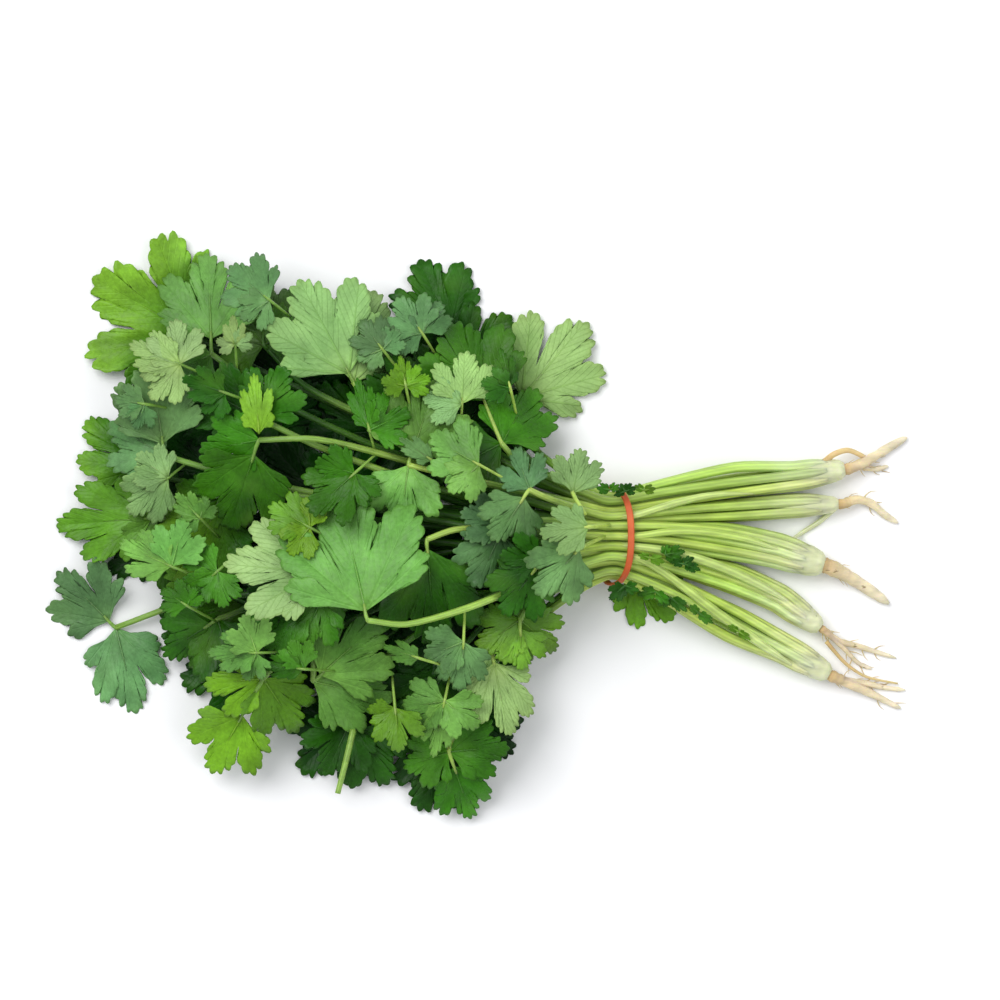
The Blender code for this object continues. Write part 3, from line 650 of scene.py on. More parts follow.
veins, mottle = veinGroup(), mottleGroup()
middle = (0.3, 0.7)  # most of a noise lies between these


def startMaterial(name):
    material = bpy.data.materials.new(name)
    material.use_nodes = True
    tree = material.node_tree
    place = addNode(tree, "TexCoord").outputs["Object"]
    return material, tree, tree.nodes["Principled BSDF"], place


def readTone(tree):
    return addNode(tree, "Attribute", attribute_name="tone").outputs["Color"]


def mottled(tree, place, size):
    return addNode(tree, "Group", {"Place": place, "Size": size}, node_tree=mottle).outputs


def finishSkin(tree, shader, colour, grain, rough, bump, **others):
    # the grain of the skin sets how rough it is: share of the grain, then the least roughness
    plug(tree, shader, {
        "Base Color": colour,
        "Roughness": doMath(tree, "MULTIPLY_ADD", grain, *rough),
        "Normal": addNode(tree, "Bump", dict(zip(("Strength", "Distance", "Height"), bump))).outputs[0],
    })
    for name, value in others.items():
        shader.inputs[name].default_value = value


leafLook = {
    "face": {
        "veinTint": (1.4, 1.35, 1.4), "veinShare": 0.3, "patches": (0.74, 1.22),
        "flecks": (0.87, 1.13), "sheenColour": (0.03, 0.06, 0.016), "rough": (0.2, 0.3),
        "relief": -0.4, "mottle": 90.0,
    },
    "underside": {
        "veinTint": (0.78, 0.86, 0.62), "veinShare": 0.65, "patches": (0.86, 1.12),
        "flecks": (0.92, 1.08), "sheenColour": (0.025, 0.028, 0.012), "rough": (0.2, 0.5),
        "relief": 0.7, "mottle": 120.0,
    },
}
paintedSheen = {"size": 48.0, "edge": (0.47, 0.68), "most": 3.0}  # painted sheen: patches of highlight where light would catch the waxy skin, painted into the colour


def leafMaterial(name, look):
    material, tree, shader, place = startMaterial(name)
    tone = readTone(tree)
    blade = addNode(tree, "UVMap", uv_map="UVMap").outputs[0]
    lines = addNode(tree, "Group", {"Place": blade}, node_tree=veins).outputs["Veins"]
    spots = mottled(tree, place, look["mottle"])
    patch = toRange(tree, spots["Patches"], *middle, *look["patches"])
    fleck = toRange(tree, spots["Grain"], *middle, *look["flecks"])
    uneven = vectorMath(tree, "SCALE", tone, doMath(tree, "MULTIPLY", patch, fleck))
    # painted sheen: pale patches added to the colour where light would catch the waxy skin
    sockets = {"Vector": place, "Scale": paintedSheen["size"], "Detail": 1.0}
    sheenNoise = addNode(tree, "TexNoise", sockets).outputs[0]
    sheenShare = toRange(tree, sheenNoise, *paintedSheen["edge"], 0.0, 1.0, "SMOOTHSTEP")
    lit = vectorMath(tree, "SCALE", tone, paintedSheen["most"])
    lit = vectorMath(tree, "SCALE", vectorMath(tree, "MINIMUM", lit, look["sheenColour"]), sheenShare)
    uneven = vectorMath(tree, "ADD", uneven, lit)
    veined = vectorMath(tree, "MULTIPLY", uneven, look["veinTint"])
    colour = mixColours(tree, doMath(tree, "MULTIPLY", lines, look["veinShare"]), uneven, veined)
    raised = doMath(tree, "MULTIPLY", lines, look["relief"])
    height = doMath(tree, "MULTIPLY_ADD", spots["Grain"], 0.5, raised)
    finishSkin(tree, shader, colour, spots["Grain"], look["rough"], (0.6, 0.0005, height),
               **{"Specular IOR Level": 0.2})
    return material


stemLook = {
    "stem": {"rough": (0.25, 0.32), "relief": 0.35},
    "root": {"rough": (0.25, 0.6), "relief": 0.8},
    "drawnOut": (0.14, 1.0, 1.0),  # the patches run along the stems
    "patches": (0.8, 1.16), "mottle": 420.0,
}
soil = {
    "size": 330.0,
    "share": (0.22, 0.24),  # of all spots, those that hold a speck
    "ragged": 0.9, "edge": (0.48, 0.68), "fromX": (0.062, 0.074),
    "colour": (0.24, 0.17, 0.07, 1),
}


def stemMaterial(name, look):
    material, tree, shader, place = startMaterial(name)
    drawn = addNode(tree, "Mapping", {0: place, "Scale": stemLook["drawnOut"]}).outputs[0]
    spots = mottled(tree, drawn, stemLook["mottle"])
    patch = toRange(tree, spots["Patches"], *middle, *stemLook["patches"])
    colour = vectorMath(tree, "SCALE", readTone(tree), patch)
    # specks of soil near the roots
    cells = addNode(tree, "TexVoronoi", {"Vector": place, "Scale": soil["size"]}).outputs
    chance = addNode(tree, "SeparateColor", {0: cells["Color"]}).outputs[0]
    ragged = doMath(tree, "MULTIPLY_ADD", spots["Grain"], soil["ragged"], cells["Distance"])
    along = addNode(tree, "SeparateXYZ", {0: place}).outputs["X"]
    near = doMath(tree, "SUBTRACT", 1.0, softStep(tree, along, *soil["fromX"]))
    speck = doMath(tree, "MULTIPLY", softStep(tree, ragged, *soil["edge"]),
                   softStep(tree, chance, *soil["share"]))
    speck = doMath(tree, "MULTIPLY", speck, near)
    finishSkin(
        tree, shader, mixColours(tree, speck, colour, soil["colour"]), spots["Grain"], look["rough"],
        (look["relief"], 0.0003, spots["Grain"]), **{
            "Subsurface Weight": 0.35,
            "Subsurface Radius": (0.7, 1.0, 0.3),
            "Subsurface Scale": 0.003,
        },
    )
    return material


rubberLook = {"dark": (0.5, 0.07, 0.014, 1), "light": (0.72, 0.15, 0.03, 1), "rough": (0.3, 0.4)}


def rubberMaterial():
    material, tree, shader, place = startMaterial("rubber")
    spots = mottled(tree, place, 260.0)
    colour = mixColours(tree, spots["Patches"], rubberLook["dark"], rubberLook["light"])
    bump = (0.4, 0.0002, spots["Grain"])
    finishSkin(tree, shader, colour, spots["Grain"], rubberLook["rough"], bump)
    return material


materials = {
    "face": leafMaterial("leafFace", leafLook["face"]),
    "underside": leafMaterial("leafUnderside", leafLook["underside"]),
    "stem": stemMaterial("stemSkin", stemLook["stem"]),
    "root": stemMaterial("rootSkin", stemLook["root"]), "rubber": rubberMaterial(),
}
print("materials made")


def pickOnly(*pieces):
    bpy.ops.object.select_all(action="DESELECT")
    for piece in pieces:
        piece.select_set(True)
    if pieces:
        bpy.context.view_layer.objects.active = pieces[0]


def pointsOf(mesh):
    co = np.zeros(len(mesh.vertices) * 3)
    mesh.vertices.foreach_get("co", co)
    return co.reshape(-1, 3)


def setPoints(mesh, points):
    mesh.vertices.foreach_set("co", (np.asarray(points) * mm).ravel())
    mesh.update()


def paint(mesh, points, colours):
    # one colour a vertex, with painted shade deep in the heap multiplied in, read by the materials as
    # the tone attribute
    colours = np.clip(colours * inShade(points), 0, 1)
    tone = mesh.attributes.new("tone", "FLOAT_COLOR", "POINT")
    tone.data.foreach_set("color", np.column_stack((colours, np.ones(len(colours)))).ravel())


def mergeSeams(piece, outwards=True):
    pickOnly(piece)
    bpy.ops.object.mode_set(mode="EDIT")
    bpy.ops.mesh.select_all(action="SELECT")
    bpy.ops.mesh.remove_doubles(threshold=1e-7)
    if outwards:
        bpy.ops.mesh.normals_make_consistent(inside=False)
    bpy.ops.object.mode_set(mode="OBJECT")
    bpy.ops.object.shade_smooth()


def finished(name, parts, node):
    # joins the parts into one piece that stands for a node of the frame
    pickOnly(*parts)
    if len(parts) > 1:
        bpy.ops.object.join()
    piece = parts[0]
    piece.name = piece.data.name = name
    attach(piece, "root")
    if node:
        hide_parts(node)


ribbed = {"sides": 14, "depth": 0.1, "shadedValley": 0.81, "crest": 1.1}  # every other side is a valley, painted darker as shade, and every crest is painted lighter as highlight
handleShare = 0.28  # how far a knot's handles reach towards the next knot


def ribProfile():
    # the cross-section of a stem, one millimetre in radius
    pickOnly()
    bpy.ops.curve.primitive_bezier_circle_add(radius=mm)
    profile = bpy.context.object
    profile.name = "stemProfile"
    profile.data.splines.clear()
    spline = profile.data.splines.new("POLY")
    spline.points.add(ribbed["sides"] - 1)
    spline.use_cyclic_u = True
    for i, point in enumerate(spline.points):
        x, y = mm * (1 - ribbed["depth"] * (i % 2)) * inPlan(360 * i / ribbed["sides"])
        point.co = (x, y, 0, 1)
    return profile


def growTube(points, radii, shades, material, profile=None, steps=5, sides=4):
    # a tapering tube through the points, rounded at each of them
    pickOnly()
    bpy.ops.curve.primitive_bezier_curve_add()
    curve = bpy.context.object.data
    curve.splines.clear()
    spline = curve.splines.new("BEZIER")
    spline.bezier_points.add(len(points) - 1)
    points = np.asarray(points, float)
    ahead = unitRows(np.gradient(points, axis=0))
    gaps = np.linalg.norm(np.diff(points, axis=0), axis=1)
    gaps = np.concatenate(([gaps[0]], gaps, [gaps[-1]]))
    for i, knot in enumerate(spline.bezier_points):
        knot.handle_left_type = knot.handle_right_type = "FREE"
        knot.co = points[i] * mm
        knot.handle_left = (points[i] - ahead[i] * gaps[i] * handleShare) * mm
        knot.handle_right = (points[i] + ahead[i] * gaps[i + 1] * handleShare) * mm
        knot.radius = float(radii[i])
    if profile:
        curve.bevel_mode = "OBJECT"
        curve.bevel_object = profile
    else:
        curve.bevel_depth = mm
        curve.bevel_resolution = sides
    curve.use_fill_caps = True
    curve.resolution_u = steps
    bpy.ops.object.convert(target="MESH")
    piece = bpy.context.object
    # the tone goes by the two nearest points of the path
    place = pointsOf(piece.data) / mm
    share = np.linalg.norm(place[:, None] - points[None], axis=2)
    order = np.argsort(share, axis=1)[:, :2]
    near = np.take_along_axis(share, order, 1) + 1e-6
    weight = (near[:, 1] / near.sum(1))[:, None]
    shades = np.asarray(shades, float)
    shade = shades[order[:, 0]] * weight + shades[order[:, 1]] * (1 - weight)
    if profile:
        # painted shade in the rib valleys and painted highlight on the crests
        shadedValley = (np.arange(len(place)) % ribbed["sides"]) % 2 > 0
        shade = shade * np.where(shadedValley, ribbed["shadedValley"], ribbed["crest"])[:, None]
    paint(piece.data, place, shade)
    piece.data.uv_layers.remove(piece.data.uv_layers[0])
    piece.data.materials.clear()
    piece.data.materials.append(materials[material])
    mergeSeams(piece)
    return piece


# painted shade: the light that is lost deep in the heap, painted into the colours
hollowLook = {
    "around": 8, "start": 0.6, "fade": 5.0, "least": np.array((0.11, 0.32, 0.045)),
    "neckX": (-2.0, -34.0),  # none of it towards the neck, where the light comes in
}


def topsAround(pile, reach):
    steps = range(-reach, reach + 1, 2)
    return [np.roll(pile.top, (i, j), (0, 1)) for i in steps for j in steps]


def meanAround(pile):
    tops = topsAround(pile, hollowLook["around"])
    return sum(tops) / len(tops)


def inShade(points):
    points = np.asarray(points)
    start, full = hollowLook["neckX"]
    depth = meanTop[pile.cells(points)] - points[:, 2]
    depth = depth * np.clip((points[:, 0] - start) / (full - start), 0, 1)
    dark = np.exp(-np.maximum(depth - hollowLook["start"], 0) / hollowLook["fade"])
    return between(hollowLook["least"], 1.0, dark[:, None])


bladeLook = {
    # lobes from the midrib out: angle and reach of its middle, half sizes, lean, teeth in each part
    "large": (
        (0.0, 0.73, (0.27, 0.25), 0.0, (3, 3, 3)),
        (37.0, 0.67, (0.25, 0.19), 3.0, (4, 3)),
        (61.0, 0.5, (0.19, 0.12), 8.0, (3, 2)),
    ),
    "small": (
        (0.0, 0.72, (0.28, 0.25), 0.0, (2, 3, 2)),
        (37.0, 0.66, (0.26, 0.195), 3.0, (3, 2)),
        (61.0, 0.49, (0.19, 0.12), 8.0, (2, 1)),
    ),
    "largeOver": 24, "lobeSize": (0.92, 1.05), "lobeReach": (0.97, 1.02),
    "toothSteps": (0.0, 0.18, 0.4, 0.6, 0.82),
    "toothDepth": {"large": 0.14, "small": 0.2},  # shares of the lobe's half size
    "toothUneven": (0.7, 1.3), "toothShift": 0.14, "toothTip": (0.94, 1.04), "toothPower": 1.7,
    "partCut": (0.26, 0.54),
    "feet": ((19.0, (0.3, 0.56)), (50.0, (0.26, 0.46)), (67.0, (0.2, 0.24))),  # where lobes part
    "turn": 118.0,  # how far round its middle a lobe's toothed edge runs
    "waist": 0.55, "shift": 3.5, "roll": 0.55,
    "fold": (-0.1, 0.13),  # how steeply the two halves fall or rise from the midrib
    "foldSoft": (0.004, 0.063), "spread": (0.9, 1.06), "thickness": 0.3, "lowest": 0.03,
    "grooves": (0.0, 37.0, 60.0),
    "grooveShapes": ((0.12, 0.4), (0.36, 2.4)),  # depth and width of a vein's groove
    "waves": ((0.85, 2.9, 3.3), (0.32, 1.3, 1.1)),  # height, and length along and across
    "curl": 0.026, "roundHub": 0.06,
}
templateLook = {
    # the kind of margin, then how far out each ring of points lies
    "large": ("large", (0.0, 0.18, 0.37, 0.55, 0.68, 0.8, 0.9, 0.96, 1.0)),
    "small": ("small", (0.0, 0.2, 0.38, 0.55, 0.7, 0.85, 0.94, 1.0)),
    "under": ("small", (0.0, 0.28, 0.55, 0.75, 0.9, 1.0)),
}


def lobeFeet(spread, draws):
    feet = []
    for side in (-1, 1):
        rows = []
        for angle, reaches in bladeLook["feet"]:
            turn = side * spread * (angle + draws.uniform(-1, 1) * bladeLook["shift"])
            rows.append(draws.uniform(*reaches) * inPlan(turn))
        feet = rows[::-1] if side < 0 else feet + rows
    return feet


def toothedMargin(kind, draws):
    # round the edge of a leaflet from one side of its base to the other: where the column passes
    # the foot of its lobe, where it ends on the margin, then the lobe's angle, start and roll
    spread = draws.uniform(*bladeLook["spread"])
    feet = lobeFeet(spread, draws)
    columns = []
    for n, (near, far) in enumerate(zip(feet, feet[1:])):
        side = (n > 2) - (n < 2)
        angle, reach, sizes, lean, parts = bladeLook[kind][abs(n - 2)]
        size = draws.uniform(*bladeLook["lobeSize"])
        angle = spread * (side * angle + draws.uniform(-1, 1) * bladeLook["shift"])
        middle = reach * draws.uniform(*bladeLook["lobeReach"]) * inPlan(angle)
        out = inPlan(angle + side * lean)
        aside = np.array((-out[1], out[0]))
        start = max(np.hypot(*near), np.hypot(*far))
        lobe = (math.radians(angle), start, draws.uniform(-1, 1) * bladeLook["roll"])
        parts = parts[::-1] if side < 0 else parts
        teeth = sum(parts)
        breaks = set(np.cumsum(parts)[:-1])
        shift = bladeLook["toothShift"]
        cuts = [i + draws.uniform(-shift, shift) * (0 < i < teeth) for i in range(teeth + 1)]
        floors = [
            1 - draws.uniform(*bladeLook["partCut"]) if i in breaks
            else 1 - bladeLook["toothDepth"][kind] * draws.uniform(*bladeLook["toothUneven"])
            for i in range(teeth + 1)
        ]
        columns.append((*near, *near, *lobe))
        for i in range(teeth):
            tip = draws.uniform(*bladeLook["toothTip"])
            for step in bladeLook["toothSteps"] + (1.0,) * (i == teeth - 1):
                share = between(cuts[i], cuts[i + 1], step) / teeth
                x, y = inPlan(between(-1, 1, share) * bladeLook["turn"])
                full = 1 - abs(2 * step - 1) ** bladeLook["toothPower"]
                floor = between(floors[i], floors[i + 1], step)
                pull = size * (floor + (tip - floor) * full)
                edge = middle + pull * (sizes[0] * x * out + sizes[1] * y * aside)
                columns.append((*between(near, far, share), *edge, *lobe))
        columns.append((*far, *far, *lobe))
    return np.array(columns)


def flatBlades():
    # every leaflet is a copy of one of these grids: x counts round the margin, y out from the base
    grids = {}
    for name, (kind, rings) in templateLook.items():
        columns = len(toothedMargin(kind, random.Random(0)))
        pickOnly()
        bpy.ops.mesh.primitive_grid_add(
            x_subdivisions=columns - 1, y_subdivisions=len(rings) - 1, size=2,
        )
        grids[name] = (bpy.context.object, kind, np.array(rings))
    return grids


def surfaceHeights(blade, nodeZ, x, y):
    # height over the leaflet's plan: straight runs from the hub to the frame's margin, made smooth
    corners = blade.heights(nodeZ)
    hub, soft = bladeFit["hub"], bladeLook["roundHub"]
    offX, offY = blade.shareX[1:] - hub, blade.shareY[1:]
    reach = np.sqrt(offX**2 + offY**2 + soft**2) - soft
    slopes = (corners[1:] - corners[0]) / reach
    turns = np.unwrap(np.arctan2(offY, offX))
    turns -= 2 * math.pi * round((turns[0] + math.pi) / (2 * math.pi))
    turns = np.append(turns, turns[0] + 2 * math.pi)
    at = turns[0] + np.mod(np.arctan2(y, x - hub) - turns[0], 2 * math.pi)
    slope = smoothThrough(at, turns, np.append(slopes, slopes[0]))
    return corners[0] + slope * (np.sqrt((x - hub) ** 2 + y**2 + soft**2) - soft)


def shapeLeaflet(blade, nodeZ, x, y, lobe, pale, draws):
    # the frame's bends, then the fold, each lobe's roll, the veins' grooves and fine waves
    length, (lobeAngle, lobeStart, roll) = blade.length, lobe
    angle, reach = np.arctan2(y, x), np.hypot(x, y)
    y = y * blade.breadth
    z = surfaceHeights(blade, nodeZ, x, y)
    square, rest = bladeLook["foldSoft"]
    z += draws.uniform(*bladeLook["fold"]) * (np.sqrt(y * y + square) - rest) * length
    z += length * roll * np.maximum(reach - lobeStart, 0) * np.sin(angle - lobeAngle)
    bow = np.zeros_like(z)
    for groove in bladeLook["grooves"]:
        aside = np.abs(reach * np.sin(np.abs(angle) - math.radians(groove))) * length
        for depth, width in bladeLook["grooveShapes"]:
            bow -= depth * np.exp(-((aside / width) ** 2))
    z += bow * np.clip(reach * 6, 0, 1) * (1.1 - reach) * (-1 if pale else 1)
    for high, along, across in bladeLook["waves"]:
        wave = np.sin(x * length / along + draws.uniform(0, 6))
        wave *= np.cos(y * length / across + draws.uniform(0, 6))
        z += high * wave * np.clip(reach * 2.5, 0, 1)
    z += length * bladeLook["curl"] * reach**3 * np.sin(7 * angle + draws.uniform(0, 6))
    z = np.maximum(z, bladeLook["thickness"] / 2 + bladeLook["lowest"])
    return np.column_stack((blade.planOf(x, y), z))


# the blue tone is a bluish green, partly the leaves' own colour and partly painted reflection of the
# bright surroundings
tones = {
    "deep": (0.02, 0.112, 0.003), "mid": (0.036, 0.168, 0.004), "bright": (0.125, 0.3, 0.012),
    "light": (0.128, 0.32, 0.054), "blue": (0.1, 0.235, 0.078), "pale": (0.25, 0.43, 0.15),
    "olive": (0.095, 0.19, 0.02), "lime": (0.2, 0.47, 0.028), "fresh": (0.075, 0.22, 0.012),
    "stem": (0.17, 0.33, 0.05), "neck": (0.465, 0.64, 0.118), "crown": (0.72, 0.77, 0.47),
}
tones = {name: np.array(tone) for name, tone in tones.items()}
# these keep the random draws of one kind of leaf apart from those of the others
salts = {
    "leafSpray": 500, "sideLeaf": 700, "floorLeaf": 800,
    "smallLeaf": 900, "scrap": 950, "underCover": 980,
}
ownTones = {"leafSpray14": "lime", "leafSpray19": "fresh", "scrap12": "lime"}
toneLook = {
    "brightness": (0.72, 1.18), "red": (0.9, 1.12), "blue": (0.85, 1.1),
    "along": 0.25,  # painted shading: how much one end or side may be lighter than the other, as light falls on a tilted leaflet
    "across": 0.3,
    "foot": ((1.5, 1.3, 1.1), 0.6),  # tint and strength
    "footReach": 0.35, "footPower": 1.5, "rim": ((0.85, 0.8, 0.6), 0.45), "rimFrom": 0.93,
}
midribLook = {
    "reach": 0.5, "girth": (0.36, 0.08), "sunk": 0.7, "points": 6, "tint": (1.25, 1.12, 1.05),
}
stalkLook = {"radii": (0.55, 0.72, 0.4), "greenFrom": 90}


def leafletTones(own, x, y, breadth, out, draws):
    # lighter at the foot, painted shading from end to end and side to side as light falls on a tilted
    # leaflet, deeper at the rim
    tint, strength = toneLook["foot"]
    foot = np.clip(1 - np.hypot(x, y) / toneLook["footReach"], 0, 1)[:, None]
    shade = between(own, own * tint, strength * foot ** toneLook["footPower"])
    tilt = draws.uniform(-1, 1) * toneLook["along"] * x
    tilt += draws.uniform(-1, 1) * toneLook["across"] * y * breadth
    tint, strength = toneLook["rim"]
    rim = np.clip((out - toneLook["rimFrom"]) / (1 - toneLook["rimFrom"]), 0, 1)[:, None]
    return between(shade * (1 + tilt[:, None]), own * tint, strength * rim)


def growMidrib(blade, nodeZ, own):
    # it stands a little proud where it enters the leaflet
    far = np.linspace(0.0, midribLook["reach"], midribLook["points"])
    girth = between(*midribLook["girth"], far / midribLook["reach"])
    lift = surfaceHeights(blade, nodeZ, far, far * 0) + bladeLook["thickness"] / 2
    lift = np.maximum(lift - midribLook["sunk"] * girth, girth + bladeLook["lowest"])
    points = np.column_stack((blade.planOf(far, far * 0), lift))
    shades = np.tile(own * midribLook["tint"], (len(far), 1))
    return growTube(points, girth, shades, "stem", steps=2, sides=1)


def growLeaflet(blade, nodeZ, tone, pale, draws, grid):
    template, kind, rings = grids[grid]
    margin = toothedMargin(kind, draws)[::-1]
    piece = template.copy()
    piece.data = mesh = template.data.copy()
    bpy.context.scene.collection.objects.link(piece)
    spots = pointsOf(mesh)
    column = np.rint((spots[:, 0] + 1) / 2 * (len(margin) - 1)).astype(int)
    out = rings[np.rint((spots[:, 1] + 1) / 2 * (len(rings) - 1)).astype(int)]
    footX, footY, edgeX, edgeY, *lobe = margin[column].T
    waist = bladeLook["waist"]
    within, beyond = np.clip(out / waist, 0, 1), np.clip((out - waist) / (1 - waist), 0, 1)
    x = footX * within + (edgeX - footX) * beyond
    y = footY * within + (edgeY - footY) * beyond
    points = shapeLeaflet(blade, nodeZ, x, y, lobe, pale, draws)
    setPoints(mesh, points)

    # place on the leaflet, as shares of its length, for the veins
    corners = np.zeros(len(mesh.loops), int)
    mesh.loops.foreach_get("vertex_index", corners)
    mesh.uv_layers[0].data.foreach_set("uv", np.column_stack((x, y))[corners].ravel())

    own = tone * draws.uniform(*toneLook["brightness"])
    own = own * (draws.uniform(*toneLook["red"]), 1, draws.uniform(*toneLook["blue"]))
    paint(mesh, points, leafletTones(own, x, y, blade.breadth, out, draws))
    mesh.materials.clear()
    for side in ("underside", "face") if pale else ("face", "underside"):
        mesh.materials.append(materials[side])

    mergeSeams(piece, outwards=False)
    solid = piece.modifiers.new("thickness", "SOLIDIFY")
    solid.thickness = bladeLook["thickness"] * mm
    solid.offset = 0
    solid.material_offset = 1
    bpy.ops.object.modifier_apply(modifier=solid.name)
    bpy.ops.object.shade_smooth()
    return [piece, growMidrib(blade, nodeZ, own)]


def leafPiece(name, node, laid, stalk, salt, grid=None, thin=1.0):
    kind = laid.leaf.tone
    tone = tones[ownTones.get(name, kind)]
    parts = []
    for k, blade in enumerate(laid.blades):
        own = grid or ("large" if blade.length > bladeLook["largeOver"] else "small")
        draws = random.Random(salt * 10 + k)
        parts += growLeaflet(blade, laid.nodeZ, tone, kind == "pale", draws, own)
    if stalk is not None:
        leafward = np.clip(-stalk[:, :1] / stalkLook["greenFrom"], 0, 1)
        shades = between(tones["neck"], tones["stem"], leafward)
        radii = np.array(stalkLook["radii"]) * thin
        parts.append(growTube(stalk, radii, shades, "stem", steps=4, sides=3))
    finished(name, parts, node)


Laid = namedtuple("Laid", "leaf blades nodeZ")


def layFlat(leaf, spot, shape, level, draws):
    blade = Blade(np.array(spot), 0.0, *shape, draws)
    blade.bends, blade.wave = np.zeros(5), 0.0
    return Laid(leaf, [blade], level)


def makeLeaves(stems, sides):
    for i, stem in enumerate(stems):
        grid = "under" if i < underLeaf["count"] else None
        leafPiece(f"leafSpray{i + 1:02d}", f"leaf_{i + 1:02d}", stem, stem.stalkPath(),
                  salts["leafSpray"] + i, grid)
    for i, side in enumerate(sides):
        leafPiece(f"sideLeaf{i + 1}", f"side_leaf_{i + 1}", side, side.stalkPath(),
                  salts["sideLeaf"] + i)
    level = bladeFit["thickness"] / 2 + offTable
    laid = layFlat(floorLeaf, floorLeaf[:2], floorLeaf.blades[0], level, random.Random(seed))
    leafPiece("floorLeaf", "floor_leaf", laid, None, salts["floorLeaf"])


# small leaves and scraps among the rest
smallLook = {
    "count": 26, "tries": 700, "region": ((-152.0, -22.0), (-72.0, 84.0)), "spacing": 13.0,
    "keptClear": ((-78.0, -6.0), 17.0),  # none on the big light leaf: its middle and reach
    "crest": (8, 41.0),  # and none within so many cells of a spot higher than this
    "bed": 4,  # they need something this high to lie on
    "deepShare": 0.88,  # this share of them goes to the deepest places
    "length": (9.0, 20.0), "breadths": (0.45, 0.65, 0.9, 1.0), "sideChance": 0.75,
    "sideTurn": (55, 85), "sideLength": (0.6, 0.85),
    "fine": 14.0,  # below this length a coarser grid is fine enough
    "stalk": (3.0, 6.0), "thin": 0.7, "sunk": 3.5, "reach": 5.0,
    "dip": (14.0, 6.0),  # most and least that the stalk's foot lies below the leaf
    "turn": 60.0, "tones": ("deep", "deep", "mid", "mid", "bright", "light", "blue", "pale"),
}
scraps = (
    Leaf(20, -6, 20, 3, "mid", ((10, 7, 0.6), (80, 3.5, 0.8), (-30, 5, 0.5))),
    Leaf(26, -9, -25, 3, "deep", ((-20, 6, 0.5), (30, 4, 0.8), (170, 4, 0.6))),
    Leaf(15, -7, -60, 2, "bright", ((-15, 5, 0.6), (165, 4, 0.5))),
    Leaf(7, 14.5, 60, 3, "deep", ((20, 4, 0.8), (120, 3, 1.0), (200, 4, 0.5))),
    Leaf(13, 14.8, 30, 3, "bright", ((10, 4, 0.7), (150, 3.5, 0.6))),
    Leaf(2, 15, 130, 3, "mid", ((170, 4.5, 0.7), (30, 3.5, 0.7))),
    Leaf(22, -20, -70, 4, "deep", ((-40, 7, 0.5), (-150, 5, 0.7))),
    Leaf(17, -18, -110, 4, "mid", ((-170, 6, 0.6), (-45, 6, 0.5))),
    Leaf(31, -25, -50, 4, "mid", ((-35, 6, 0.45), (140, 4, 0.6))),
    Leaf(44, -31, -35, 4, "bright", ((-35, 5, 0.4), (150, 4, 0.5))),
    Leaf(7, -16, -120, 4, "deep", ((-140, 7, 0.7), (-20, 5, 0.7))),
    Leaf(-111, 33, 95, 3, "bright", ((94, 20, 0.45),)),
)
# dark leaves laid flat on the table under the heap, so that its gaps show painted shade instead of the
# pale table
underCover = {
    "spots": (
        (-60, 0), (-80, 22), (-84, -18), (-104, 4), (-58, 26), (-56, -28), (-108, 32), (-110, -24),
        (-36, 12), (-34, -14), (-128, 10), (-82, 46), (-84, -42), (-130, -8), (-60, 48), (-58, -50),
        (-136, 30), (-128, -28), (-108, 54), (-38, 34), (-38, -36), (-129, 62), (-95, 40), (-72, 8),
    ),
    "length": (26.0, 32.0), "tone": "deep", "level": 0.3,
}


def smallSpots(pile, draws):
    region = smallLook["region"]
    spots = [tuple(draws.uniform(*span) for span in region) for _ in range(smallLook["tries"])]
    middle, reach = smallLook["keptClear"]
    spots = [spot for spot in spots if math.dist(spot, middle) > reach]
    cells = pile.cells(np.array(spots))
    around, most = smallLook["crest"]
    crest = np.max(topsAround(pile, around), axis=0)[cells]
    top, depths = pile.top[cells], (meanTop - pile.top)[cells]
    high = (crest < most) & (top > smallLook["bed"])
    depth = {spot: depths[k] for k, spot in enumerate(spots) if high[k]}
    filled = list(depth)
    deepest = sorted(filled, key=lambda spot: -depth[spot])
    chosen = []
    for k in range(smallLook["count"]):
        for spot in deepest if k < smallLook["count"] * smallLook["deepShare"] else filled:
            if all(math.dist(spot, other) > smallLook["spacing"] for other in chosen):
                chosen.append(spot)
                break
    return chosen


def makeSmallLeaves(pile, draws):
    for k, (x, y) in enumerate(smallSpots(pile, draws)):
        outward = math.degrees(math.atan2(y, x))
        heading = outward + draws.uniform(-1, 1) * smallLook["turn"]
        length = draws.uniform(*smallLook["length"])
        blades = ((heading, length, draws.choice(smallLook["breadths"])),)
        for side in (-1, 1):
            if draws.random() < smallLook["sideChance"]:
                turn = heading + side * draws.uniform(*smallLook["sideTurn"])
                blades += ((turn, length * draws.uniform(*smallLook["sideLength"]), 1.0),)
        tone = draws.choice(smallLook["tones"])
        leaf = Leaf(x, y, heading, draws.uniform(*smallLook["stalk"]), tone, blades)
        small = SideLeaf(leaf, pile, random.Random(seed * 900 + k))
        # its stalk slopes down between the leaves round it
        foot = np.array((x, y)) - (leaf.stalk + smallLook["reach"]) * inPlan(heading)
        bed = float(pile.under(foot[None])[0]) - smallLook["sunk"]
        bed = np.clip(bed, *(small.nodeZ - np.array(smallLook["dip"])))
        stalk = stalkInto(small.blades[0], small.top, np.append(foot, max(1.0, bed)))
        grid = "under" if length < smallLook["fine"] else None
        leafPiece(f"smallLeaf{k + 1:02d}", None, small, stalk, salts["smallLeaf"] + k, grid,
                  smallLook["thin"])


